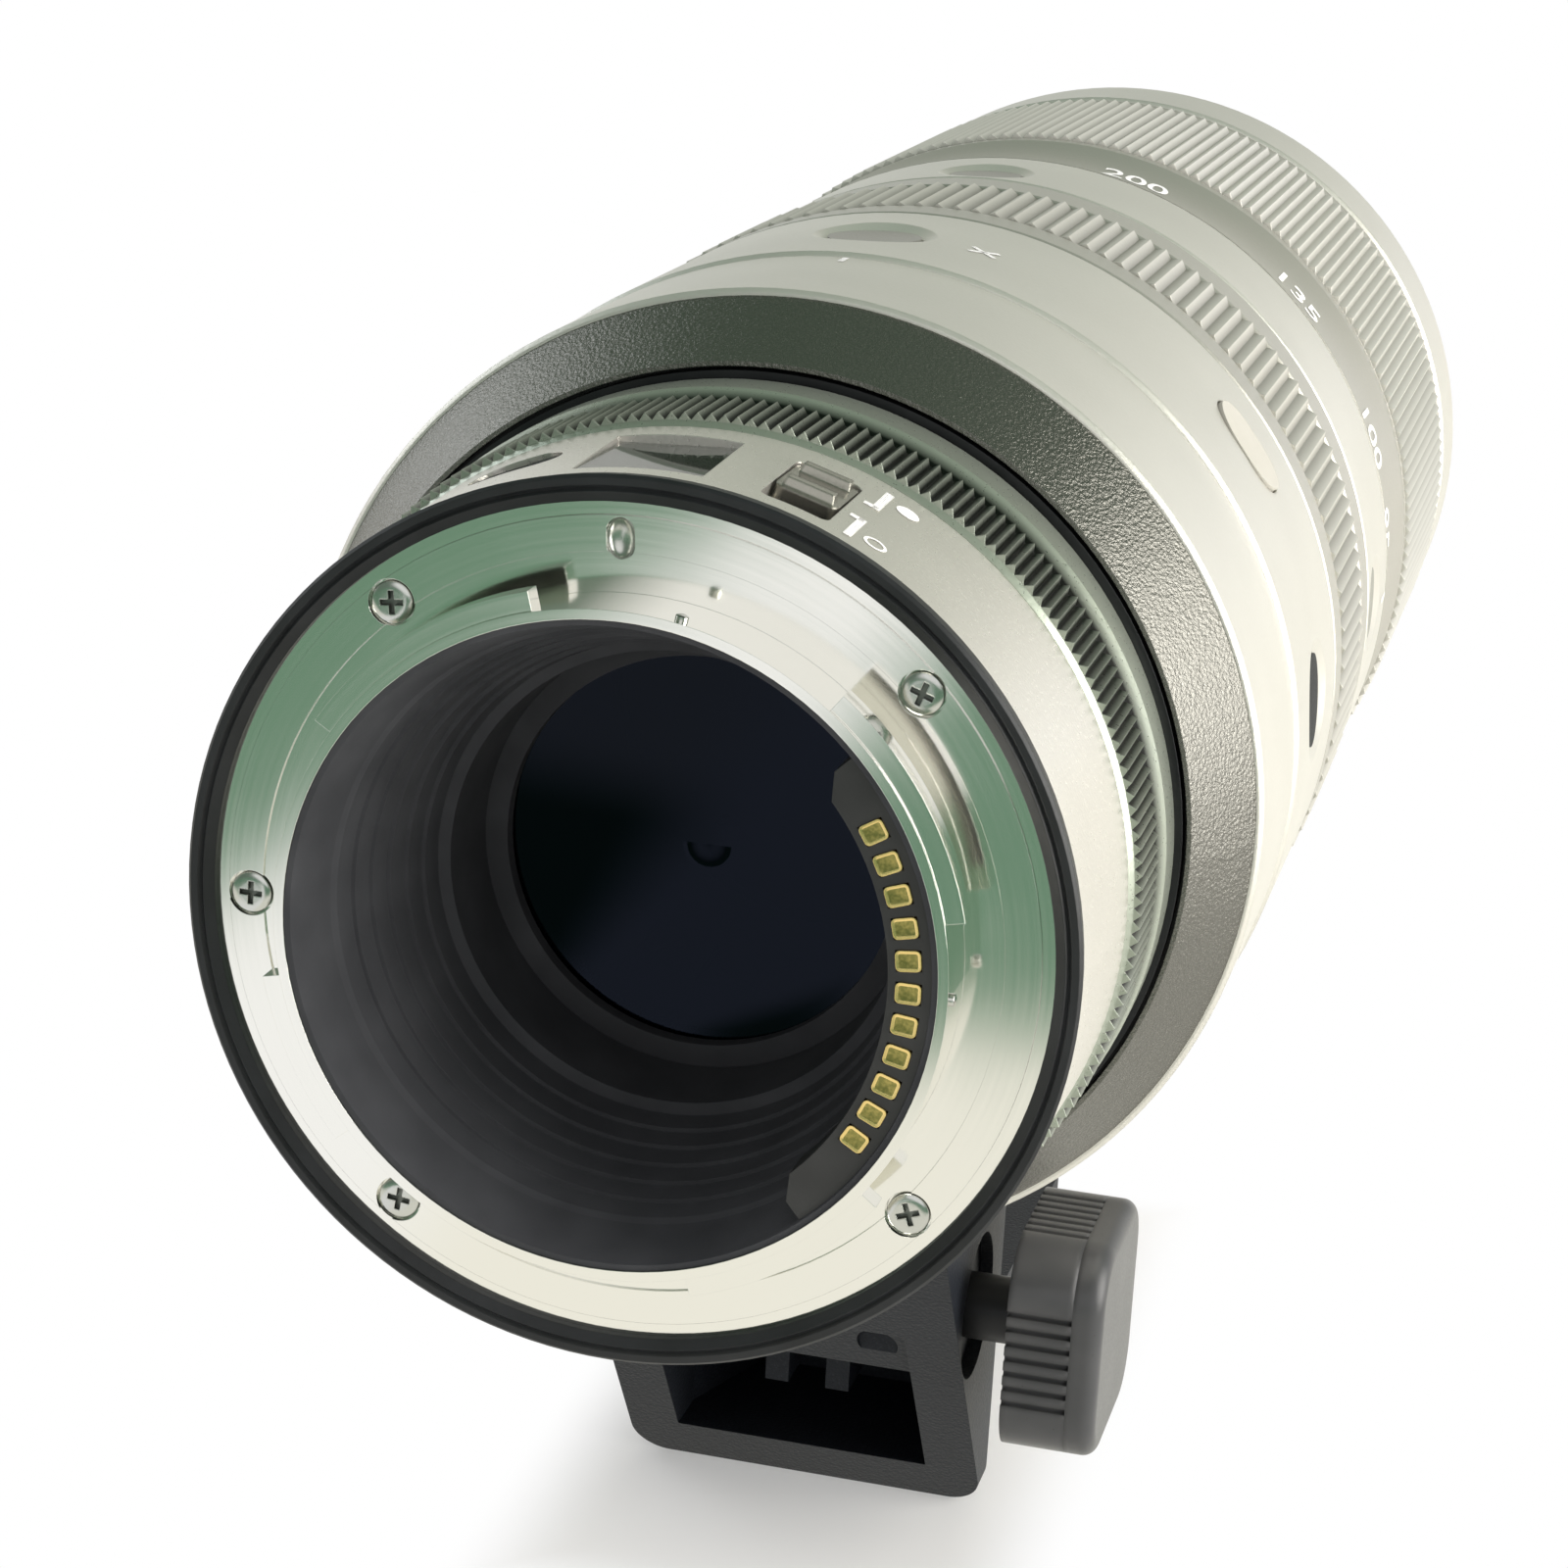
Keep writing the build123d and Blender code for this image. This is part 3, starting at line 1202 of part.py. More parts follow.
def cut_button(shape, sizes, grown, angle, axial, scoop):
    """Scoop in the shell, with a stepped hole that holds the button by its catch."""
    if scoop > 0:
        with Locations(on_barrel(angle, axial, SHELL_RADIUS + SCOOP_BALL_RADIUS - scoop)):
            Sphere(SCOOP_BALL_RADIUS, mode=Mode.SUBTRACT)
    place = on_barrel(angle, axial, pocket_base)
    hole = [size + grow * SIDE_GAP for size, grow in zip(sizes, grown)]
    catch = [size + grow * (SIDE_GAP + CATCH_WIDTH) for size, grow in zip(sizes, grown)]
    catch_top = button_base + CATCH_THICKNESS + CATCH_FIT
    raised(shape(*hole), place, SHELL_RADIUS - pocket_base + CUT_MARGIN, mode=Mode.SUBTRACT)
    raised(shape(*catch), place, catch_top - pocket_base, mode=Mode.SUBTRACT)


def button_body(shape, sizes, grown, angle, axial, top):
    place = on_barrel(angle, axial, button_base)
    catch = [size + grow * CATCH_WIDTH for size, grow in zip(sizes, grown)]
    raised(shape(*catch), place, CATCH_THICKNESS)
    raised(shape(*sizes), place, top - button_base)


ROUND_GROWTH = (1, 1)
PILL_GROWTH = (2, 2)
round_size = (BUTTON_RADIUS, BUTTON_FLAT)
memory_size = (MEMORY_BUTTON_LENGTH, MEMORY_BUTTON_WIDTH)
front_size = (FRONT_BUTTON_RADIUS, FRONT_BUTTON_RADIUS)
memory_top = chord_height(SHELL_RADIUS, MEMORY_BUTTON_LENGTH) + MEMORY_BUTTON_PROUD
front_button_angles = [TOP_BUTTON_ANGLE - n * 360.0 / FRONT_BUTTON_COUNT for n in range(FRONT_BUTTON_COUNT)]

with BuildPart() as button_housing:
    turned(
        (fixed_radius, shell_start),
        (SHELL_RADIUS - SHELL_EDGE, shell_start),
        (SHELL_RADIUS, shell_start + SHELL_EDGE),
        (SHELL_RADIUS, button_shell_end - SHELL_EDGE),
        (SHELL_RADIUS - SHELL_EDGE, button_shell_end),
        (fixed_radius, button_shell_end),
    )
    cut_button(round_outline, round_size, ROUND_GROWTH, TOP_BUTTON_ANGLE, button_row, SCOOP_DEPTH)
    cut_button(round_outline, round_size, ROUND_GROWTH, SIDE_BUTTON_ANGLE, button_row, SCOOP_DEPTH)
    cut_button(pill_outline, memory_size, PILL_GROWTH, MEMORY_BUTTON_ANGLE, memory_button_axial, 0)

with BuildPart() as function_button_top:
    button_body(round_outline, round_size, ROUND_GROWTH, TOP_BUTTON_ANGLE, button_row, button_top)

with BuildPart() as function_button_side:
    button_body(round_outline, round_size, ROUND_GROWTH, SIDE_BUTTON_ANGLE, button_row, button_top)

with BuildPart() as memory_button:
    button_body(
        pill_outline,
        memory_size,
        PILL_GROWTH,
        MEMORY_BUTTON_ANGLE,
        memory_button_axial,
        memory_top,
    )

with BuildPart() as mid_housing:
    turned(
        (fixed_radius, mid_shell_start),
        (SHELL_RADIUS - SHELL_EDGE, mid_shell_start),
        (SHELL_RADIUS, mid_shell_start + SHELL_EDGE),
        (SHELL_RADIUS, mid_shell_end - SHELL_EDGE),
        (SHELL_RADIUS - SHELL_EDGE, mid_shell_end),
        (fixed_radius, mid_shell_end),
    )
    for angle in front_button_angles:
        cut_button(round_outline, front_size, ROUND_GROWTH, angle, front_button_row, FRONT_SCOOP_DEPTH)

front_buttons = []
for angle in front_button_angles:
    with BuildPart() as front_button:
        button_body(round_outline, front_size, ROUND_GROWTH, angle, front_button_row, button_top)
    front_buttons.append(front_button)

# Fixed barrel with the slot for the zoom key
key_angle = math.degrees(math.asin(ZOOM_KEY_WIDTH / 2 / fixed_bore)) + KEY_SLOT_MARGIN

with BuildPart() as fixed_barrel:
    tube(fixed_bore, fixed_radius, main_end, fixed_end)
    turned(
        (fixed_bore - CUT_MARGIN, zoom_key_axial - ZOOM_KEY_LENGTH / 2 - RING_GAP),
        (fixed_radius + CUT_MARGIN, zoom_key_axial - ZOOM_KEY_LENGTH / 2 - RING_GAP),
        (fixed_radius + CUT_MARGIN, zoom_key_axial + ZOOM_KEY_LENGTH / 2 + RING_GAP),
        (fixed_bore - CUT_MARGIN, zoom_key_axial + ZOOM_KEY_LENGTH / 2 + RING_GAP),
        start=ZOOM_KEY_ANGLE + ZOOM_TO_WIDE + key_angle,
        arc=zoom_range + 2 * key_angle,
        mode=Mode.SUBTRACT,
    )

# Focus ring
with BuildPart() as focus_ring:
    turned(
        (ring_bore, focus_ring_start),
        (SHELL_RADIUS - SHELL_EDGE, focus_ring_start),
        (SHELL_RADIUS, focus_ring_start + SHELL_EDGE),
        (SHELL_RADIUS, focus_ribs_start - SHELL_EDGE),
        (focus_root_radius, focus_ribs_start),
        (focus_root_radius, focus_ribs_end),
        (SHELL_RADIUS, focus_ribs_end + SHELL_EDGE),
        (SHELL_RADIUS, focus_ring_end - SHELL_EDGE),
        (SHELL_RADIUS - SHELL_EDGE, focus_ring_end),
        (ring_bore, focus_ring_end),
    )
    ribbed_band(
        FOCUS_RIBS,
        focus_root_radius - SHELL_EDGE,
        focus_root_radius,
        focus_root_radius + FOCUS_RIB_HEIGHT,
        focus_ribs_start,
        focus_ribs_end,
    )

# Zoom ring, its key and the cam barrel
with BuildPart() as zoom_ring:
    band_middle = (zoom_ring_start + scale_band_end) / 2
    with BuildSketch(Plane.XY) as zoom_section:
        with BuildLine():
            Polyline(
                (SHELL_RADIUS, zoom_ring_start),
                (ring_bore, zoom_ring_start),
                (ring_bore, zoom_ring_end),
                (zoom_root_radius, zoom_ring_end),
                (zoom_root_radius, scale_band_end),
            )
            ThreePointArc(
                (zoom_root_radius, scale_band_end),
                (scale_band_radius, band_middle),
                (SHELL_RADIUS, zoom_ring_start),
            )
        make_face()
    revolve(zoom_section.sketch, axis=Axis.Y)
    ribbed_band(
        ZOOM_RIBS,
        zoom_root_radius - SHELL_EDGE,
        zoom_root_radius,
        zoom_root_radius + ZOOM_RIB_HEIGHT,
        zoom_ribs_start,
        zoom_ribs_end,
    )
    with Locations(on_barrel(ZOOM_KEY_ANGLE, zoom_key_axial, fixed_radius - CUT_MARGIN)):
        Box(
            ZOOM_KEY_LENGTH,
            ZOOM_KEY_WIDTH,
            CUT_MARGIN + ZOOM_KEY_HEAD,
            align=(Align.CENTER, Align.CENTER, Align.MIN),
            mode=Mode.SUBTRACT,
        )

key_root = guide_radius + ZOOM_KEY_ROOT_GAP

with BuildPart() as zoom_key:
    with Locations(on_barrel(ZOOM_KEY_ANGLE, zoom_key_axial, key_root)):
        Box(
            ZOOM_KEY_LENGTH,
            ZOOM_KEY_WIDTH,
            fixed_radius + ZOOM_KEY_HEAD - key_root,
            align=(Align.CENTER, Align.CENTER, Align.MIN),
        )

slot_arc = zoom_range + 2 * SLOT_MARGIN
cam_middle = (cam_bore + cam_radius) / 2


def helical_slot(travel, lefthand):
    """Cutter of one cam slot that starts at the top of the barrel and rises forwards."""
    rise = travel / zoom_range
    with BuildPart(mode=Mode.PRIVATE) as cutter:
        with BuildLine() as path:
            Helix(
                pitch=rise * 360,
                height=rise * slot_arc,
                radius=cam_middle,
                direction=(0, 1, 0),
                lefthand=lefthand,
            )
        with BuildSketch(Plane(path.line @ 0, x_dir=(0, 0, 1), z_dir=path.line % 0)) as slot_section:
            Rectangle(3 * CAM_WALL, 2 * slot_radius)
        sweep(slot_section.sketch, path=path.line, is_frenet=True)
        for end in (0, 1):
            point = path.line @ end
            outward = Vector(point.X, 0, point.Z)
            with Locations(Plane(point, x_dir=(0, 1, 0), z_dir=outward)):
                Cylinder(slot_radius - SLOT_END_STEP, 3 * CAM_WALL)
    return cutter.part


with BuildPart() as cam_barrel:
    tube(cam_bore, cam_radius, cam_start, cam_end)
    variator_slot = helical_slot(VARIATOR_TRAVEL, lefthand=False)
    variator_low = variator_axial - VARIATOR_TRAVEL / zoom_range * (ZOOM_TO_TELE + SLOT_MARGIN)
    for angle in follower_angles(VARIATOR_ANGLE + ZOOM_TO_TELE + SLOT_MARGIN):
        add(Pos(0, variator_low, 0) * Rot(0, 90 - angle, 0) * variator_slot, mode=Mode.SUBTRACT)
    compensator_slot = helical_slot(COMPENSATOR_TRAVEL, lefthand=True)
    compensator_rise = COMPENSATOR_TRAVEL / zoom_range
    compensator_low = compensator_axial - compensator_rise * (ZOOM_TO_WIDE + SLOT_MARGIN)
    for angle in follower_angles(COMPENSATOR_ANGLE - ZOOM_TO_WIDE - SLOT_MARGIN):
        add(Pos(0, compensator_low, 0) * Rot(0, 90 - angle, 0) * compensator_slot, mode=Mode.SUBTRACT)
    add(zoom_key.part, mode=Mode.SUBTRACT)

with BuildPart() as guide_barrel:
    tube(guide_bore, guide_radius, main_end, guide_end)
    variator_rise = VARIATOR_TRAVEL / zoom_range
    variator_rear = variator_axial - variator_rise * (ZOOM_TO_TELE + SLOT_MARGIN)
    variator_front = variator_axial + variator_rise * (ZOOM_TO_WIDE + SLOT_MARGIN)
    compensator_rear = compensator_axial - compensator_rise * (ZOOM_TO_WIDE + SLOT_MARGIN)
    compensator_front = compensator_axial + compensator_rise * (ZOOM_TO_TELE + SLOT_MARGIN)
    slots = (
        (VARIATOR_ANGLE, variator_rear, variator_front),
        (COMPENSATOR_ANGLE, compensator_rear, compensator_front),
    )
    for first, rear, front in slots:
        for angle in follower_angles(first):
            with BuildSketch(on_barrel(angle, (rear + front) / 2, guide_bore - CUT_MARGIN)) as straight_slot:
                SlotCenterToCenter(front - rear, 2 * slot_radius)
            extrude(straight_slot.sketch, amount=2 * CUT_MARGIN + GUIDE_WALL, mode=Mode.SUBTRACT)

# Moving glass of the zoom
with BuildPart() as variator_cell:
    lens_cell(variator_axial, VARIATOR_LENGTH, cell_radius, variator_glass_radius)
    radial_pins(
        follower_angles(VARIATOR_ANGLE),
        variator_axial,
        FOLLOWER_RADIUS,
        follower_root,
        guide_radius,
        mode=Mode.SUBTRACT,
    )

with BuildPart() as variator_glass:
    glass_element(
        variator_glass_radius,
        variator_axial - VARIATOR_GLASS_THICKNESS / 2,
        VARIATOR_GLASS_THICKNESS,
        -VARIATOR_HOLLOW,
        -VARIATOR_HOLLOW,
    )

with BuildPart() as variator_rollers:
    radial_pins(
        follower_angles(VARIATOR_ANGLE),
        variator_axial,
        FOLLOWER_RADIUS,
        follower_root,
        follower_tip,
    )

with BuildPart() as compensator_cell:
    lens_cell(compensator_axial, COMPENSATOR_LENGTH, cell_radius, compensator_glass_radius)
    radial_pins(
        follower_angles(COMPENSATOR_ANGLE),
        compensator_axial,
        FOLLOWER_RADIUS,
        follower_root,
        guide_radius,
        mode=Mode.SUBTRACT,
    )

with BuildPart() as compensator_glass:
    glass_element(
        compensator_glass_radius,
        compensator_axial - COMPENSATOR_GLASS_THICKNESS / 2,
        COMPENSATOR_GLASS_THICKNESS,
        COMPENSATOR_CROWN,
        COMPENSATOR_CROWN,
    )

with BuildPart() as compensator_rollers:
    radial_pins(
        follower_angles(COMPENSATOR_ANGLE),
        compensator_axial,
        FOLLOWER_RADIUS,
        follower_root,
        follower_tip,
    )

# Focus group on its rods, its motor and the iris
rod_places = [polar(rod_circle, angle) for angle in ROD_ANGLES]
focus_cell_end = focus_cell_start + FOCUS_CELL_LENGTH
coil_radius = motor_inner_radius - COIL_GAP

with BuildPart() as focus_cell:
    with BuildSketch(cross_section(focus_cell_start)) as focus_section:
        Circle(focus_cell_radius)
        with Locations(*rod_places):
            Circle(FOCUS_BOSS_RADIUS)
        with PolarLocations(0, len(ROD_ANGLES), ROD_ANGLES[0]):
            Rectangle(rod_circle, FOCUS_BOSS_RADIUS * 2, align=(Align.MIN, Align.CENTER))
        with Locations(*rod_places):
            Circle(ROD_RADIUS + RUNNING_FIT, mode=Mode.SUBTRACT)
        Circle(focus_glass_radius, mode=Mode.SUBTRACT)
    extrude(focus_section.sketch, amount=-FOCUS_CELL_LENGTH)
    turned(
        (focus_cell_radius - CUT_MARGIN, focus_cell_start),
        (coil_radius, focus_cell_start),
        (coil_radius, focus_cell_end),
        (focus_cell_radius - CUT_MARGIN, focus_cell_end),
        start=MOTOR_ANGLE + COIL_ARC / 2,
        arc=COIL_ARC,
    )

with BuildPart() as focus_glass:
    glass_element(
        focus_glass_radius,
        focus_cell_start + FOCUS_GLASS_INSET,
        FOCUS_GLASS_RIM,
        -FOCUS_GLASS_REAR_HOLLOW,
        -FOCUS_GLASS_FRONT_HOLLOW,
    )

with BuildPart() as focus_rods:
    with BuildSketch(cross_section(main_end - ROD_SEAT)):
        with Locations(*rod_places):
            Circle(ROD_RADIUS)
    extrude(amount=main_end - ROD_SEAT - iris_start - ROD_SEAT)

with BuildPart() as focus_motor:
    turned(
        (motor_inner_radius, main_end),
        (guide_bore, main_end),
        (guide_bore, iris_start),
        (motor_inner_radius, iris_start),
        start=MOTOR_ANGLE + MOTOR_ARC / 2,
        arc=MOTOR_ARC,
    )

with BuildPart() as iris_unit:
    turned(
        (iris_aperture, iris_start),
        (iris_radius, iris_start),
        (iris_radius, iris_end),
        (iris_aperture, iris_end),
        (iris_aperture, iris_end - IRIS_PLATE),
        (iris_cavity_radius, iris_end - IRIS_PLATE),
        (iris_cavity_radius, iris_start + IRIS_PLATE),
        (iris_aperture, iris_start + IRIS_PLATE),
    )
    with BuildSketch(cross_section(iris_start)):
        with Locations(*rod_places):
            Circle(ROD_RADIUS)
    extrude(amount=-ROD_SEAT, mode=Mode.SUBTRACT)

# Front glass, filter thread and front shell
with BuildPart() as front_cell:
    turned(
        (front_stop_radius, guide_end),
        (fixed_bore, guide_end),
        (fixed_bore, front_cell_end),
        (front_glass_radius, front_cell_end),
        (front_glass_radius, front_glass_start),
        (front_stop_radius, front_glass_start),
    )

with BuildPart() as front_glass:
    glass_element(
        front_glass_radius,
        front_glass_start,
        FRONT_GLASS_RIM,
        -FRONT_GLASS_HOLLOW,
        FRONT_GLASS_CROWN,
    )

with BuildPart() as front_retaining_ring:
    retainer_rear = front_glass_start + FRONT_GLASS_RIM
    turned(
        (front_retainer_radius, retainer_rear + FRONT_RETAINER_SLOPE),
        (front_glass_radius, retainer_rear),
        (front_glass_radius, retainer_rear + FRONT_RETAINER_THICKNESS),
        (front_retainer_radius, retainer_rear + FRONT_RETAINER_THICKNESS - FRONT_RETAINER_EDGE),
    )

with BuildPart() as filter_ring:
    turned(
        (fixed_radius, fixed_end),
        (fixed_radius, filter_ring_end),
        (filter_thread_radius, filter_ring_end),
        (filter_thread_radius, filter_thread_start),
        (filter_lip_radius, filter_thread_start),
        (filter_lip_radius, front_cell_end),
        (fixed_bore, front_cell_end),
        (fixed_bore, fixed_end),
    )

with BuildPart() as front_barrel:
    turned(
        (fixed_radius, front_shell_start),
        (front_radius - SHELL_EDGE, front_shell_start),
        (front_radius, front_shell_start + SHELL_EDGE),
        (front_radius, lens_length - FRONT_EDGE),
        (front_radius - FRONT_EDGE, lens_length),
        (fixed_radius, lens_length),
    )

# Export
print("cam slots cut", round(variator_slot.volume), round(compensator_slot.volume))
pieces = {
    "mount_ring": mount_ring,
    "mount_screws": mount_screws,
    "mount_gasket": mount_gasket,
    "contact_block": contact_block,
    "contact_pins": contact_pins,
    "rear_baffle": rear_baffle,
    "rear_lens_cell": rear_lens_cell,
    "rear_glass": rear_glass,
    "main_barrel": main_barrel,
    "rear_housing": rear_housing,
    "display_window": display_window,
    "display_module": display_module,
    "circuit_board": circuit_board,
    "mode_switch": mode_switch,
    "display_button": display_button,
    "control_ring": control_ring,
    "collar_retainer": collar_retainer,
    "collar_rear_cover": collar_rear_cover,
    "collar_ring": collar_ring,
    "collar_liner": collar_liner,
    "collar_neck": collar_neck,
    "tripod_foot": tripod_foot,
    "tripod_bush": tripod_bush,
    "foot_screw": foot_screw,
    "clamp_jaw": clamp_jaw,
    "clamp_screw": clamp_screw,
    "clamp_knob": clamp_knob,
    "knob_cap": knob_cap,
    "button_housing": button_housing,
    "function_button_top": function_button_top,
    "function_button_side": function_button_side,
    "memory_button": memory_button,
    "mid_housing": mid_housing,
    "fixed_barrel": fixed_barrel,
    "focus_ring": focus_ring,
    "zoom_ring": zoom_ring,
    "zoom_key": zoom_key,
    "cam_barrel": cam_barrel,
    "guide_barrel": guide_barrel,
    "variator_cell": variator_cell,
    "variator_glass": variator_glass,
    "variator_rollers": variator_rollers,
    "compensator_cell": compensator_cell,
    "compensator_glass": compensator_glass,
    "compensator_rollers": compensator_rollers,
    "focus_cell": focus_cell,
    "focus_glass": focus_glass,
    "focus_rods": focus_rods,
    "focus_motor": focus_motor,
    "iris_unit": iris_unit,
    "front_cell": front_cell,
    "front_glass": front_glass,
    "front_retaining_ring": front_retaining_ring,
    "filter_ring": filter_ring,
    "front_barrel": front_barrel,
}
for number, front_button in enumerate(front_buttons, 1):
    pieces[f"front_button_{number}"] = front_button

os.makedirs("parts", exist_ok=True)
for name, piece in pieces.items():
    piece.part.label = name
    export_step(piece.part, f"parts/{name}.step")
    print(name, round(piece.part.volume))
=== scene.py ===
# %% [markdown]
# # A tele zoom lens on its tripod collar
# The lens stands on its foot and is seen from behind, over the bayonet. Its shapes come from
# the CAD solids. This lesson gives each of them its real finish, adds what is too fine for
# CAD, such as printed numbers, threads and softened edges, and lights it on a white sweep.

import math

import bpy
from mathutils import Matrix, Vector


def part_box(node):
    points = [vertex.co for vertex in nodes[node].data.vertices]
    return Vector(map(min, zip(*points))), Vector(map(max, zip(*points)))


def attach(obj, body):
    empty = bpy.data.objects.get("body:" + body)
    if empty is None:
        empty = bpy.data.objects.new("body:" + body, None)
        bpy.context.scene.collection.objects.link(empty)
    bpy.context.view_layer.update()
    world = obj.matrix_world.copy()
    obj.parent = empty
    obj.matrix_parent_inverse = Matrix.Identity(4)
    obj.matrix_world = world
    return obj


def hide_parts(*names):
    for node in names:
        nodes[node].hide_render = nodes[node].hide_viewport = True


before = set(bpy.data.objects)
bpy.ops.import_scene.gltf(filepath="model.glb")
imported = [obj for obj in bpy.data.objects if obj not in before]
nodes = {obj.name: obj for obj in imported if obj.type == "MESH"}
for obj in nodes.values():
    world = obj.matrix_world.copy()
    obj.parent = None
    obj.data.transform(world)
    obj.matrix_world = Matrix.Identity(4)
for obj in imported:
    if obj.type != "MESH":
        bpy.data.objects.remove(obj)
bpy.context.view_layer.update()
MM = 0.001

# %% [markdown]
# ## The camera
# The photograph was taken from close by, a little to the right and above, with the camera
# tilted. A matrix built from its right, up and forward directions says that exactly.

# %% Camera
CAMERA_PLACE = Vector((74.818, -255.611, 92.587)) * MM
CAMERA_RIGHT = Vector((0.965712, 0.254195, 0.052867))
CAMERA_UP = Vector((-0.122470, 0.266434, 0.956047))
CAMERA_FORWARD = Vector((-0.228941, 0.929730, -0.288428))
SENSOR_WIDTH = 36.0
FOCAL_LENGTH = 84.6
NEAREST_SEEN = 0.01
FARTHEST_SEEN = 20.0

camera_data = bpy.data.cameras.new("camera")
camera_data.sensor_width = SENSOR_WIDTH
camera_data.lens = FOCAL_LENGTH
camera_data.clip_start = NEAREST_SEEN
camera_data.clip_end = FARTHEST_SEEN
camera = bpy.data.objects.new("camera", camera_data)
bpy.context.scene.collection.objects.link(camera)
camera_axes = Matrix((CAMERA_RIGHT, CAMERA_UP, -CAMERA_FORWARD)).transposed()
camera.matrix_world = Matrix.Translation(CAMERA_PLACE) @ camera_axes.to_4x4()
bpy.context.scene.camera = camera
print("camera", round(CAMERA_PLACE.length / MM), "mm from the mount")

# %% [markdown]
# ## Colours, nodes and materials
# Colours are written as the hex values that one reads off a screen, and turned to the linear
# values that Blender mixes. One function adds a node with its settings and its links. What is
# the same all over a surface is set on the shader itself.


# %% Colours, nodes and materials
def channels_of(hex_code):
    """Red, green and blue, from 0 to 255."""
    return [int(hex_code[start : start + 2], 16) for start in (1, 3, 5)]


def linear(hex_code):
    """A screen colour as the linear RGBA of a colour socket."""
    shares = [channel / 255 for channel in channels_of(hex_code)]
    return tuple(s / 12.92 if s <= 0.04045 else ((s + 0.055) / 1.055) ** 2.4 for s in shares) + (1.0,)


def add(tree, kind, inputs=None, **settings):
    """Adds a node: settings are its own, inputs are values or the sockets that feed it."""
    made = tree.nodes.new(kind)
    for key, value in settings.items():
        setattr(made, key, value)
    for key, value in (inputs or {}).items():
        if isinstance(value, bpy.types.NodeSocket):
            tree.links.new(value, made.inputs[key])
        else:
            made.inputs[key].default_value = value
    return made


def start_material(name, hex_code, roughness, metallic=0.0, **sockets):
    """A material with its constant values on the shader, its tree, and its place in metres."""
    material = bpy.data.materials.new(name)
    material.use_nodes = True
    tree = material.node_tree
    shader = tree.nodes["Principled BSDF"]
    shader.inputs["Base Color"].default_value = linear(hex_code)
    shader.inputs["Roughness"].default_value = roughness
    shader.inputs["Metallic"].default_value = metallic
    for socket, value in sockets.items():
        shader.inputs[socket.replace("_", " ")].default_value = value
    place = add(tree, "ShaderNodeTexCoord").outputs["Object"]
    return material, tree, shader, place


print("white is", linear("#ffffff"))

# %% [markdown]
# ## What every finish has
# No real finish is one flat colour. Its tone drifts, its shine varies from spot to spot, and its
# relief catches the light. No real edge is sharp either: tumbling, moulding and paint round it by
# a tenth of a millimetre or so. The bevel node bends the light there as such an edge does.


# %% Tones, shine, relief and edges
def two_tones(tree, pattern, start, end, first_hex, second_hex):
    """A colour that turns from the first to the second as the pattern rises from start to end."""
    share = add(tree, "ShaderNodeMapRange", {"Value": pattern, "From Min": start, "From Max": end})
    tones = {0: share.outputs["Result"], 6: linear(first_hex), 7: linear(second_hex)}
    return add(tree, "ShaderNodeMix", tones, data_type="RGBA").outputs[2]


def give_surface(tree, shader, spots, smoothest, roughest, height, depth_mm, strength, edge_mm=0.12):
    """Shine that changes with the spots, a relief of this depth, and edges of this radius."""
    shine = {"Value": spots, "To Min": smoothest, "To Max": roughest}
    shine = add(tree, "ShaderNodeMapRange", shine).outputs["Result"]
    edge = add(tree, "ShaderNodeBevel", {"Radius": edge_mm * MM}, samples=4).outputs["Normal"]
    relief = {"Height": height, "Distance": depth_mm * MM, "Strength": strength, "Normal": edge}
    relief = add(tree, "ShaderNodeBump", relief).outputs["Normal"]
    tree.links.new(shine, shader.inputs["Roughness"])
    tree.links.new(relief, shader.inputs["Normal"])


def radius_mm(tree, place):
    """Distance from the optical axis in millimetres."""
    flat = {0: place, 1: (1 / MM, 0.0, 1 / MM)}
    flat = add(tree, "ShaderNodeVectorMath", flat, operation="MULTIPLY").outputs[0]
    return add(tree, "ShaderNodeVectorMath", {0: flat}, operation="LENGTH").outputs["Value"]


print("finishes have tones, shine, relief and soft edges")

# %% [markdown]
# ## Painted shells
# The barrel is light alloy and plastic, sprayed with one black satin paint. It is drawn pale, warm grey,
# and this pale tone is painted sheen, the broad shine of the satin. The paint holds a fine metal flake, so
# it shines broadly where the window light falls along the barrel.
# Real flake is finer than a pixel here. It is drawn a third of a millimetre wide, as coarse as it needs to
# show. In the grooves of the grips less light gets in and dust stays: a mask by the distance from the axis
# paints them darker, as dust and painted shade.

# %% Satin paint
FLAKE = 0.35
FLAKE_DEPTH = 0.03
SHINE_SPREAD = 0.16
CLOUD = 22.0
CLOUD_SHARE = 0.12


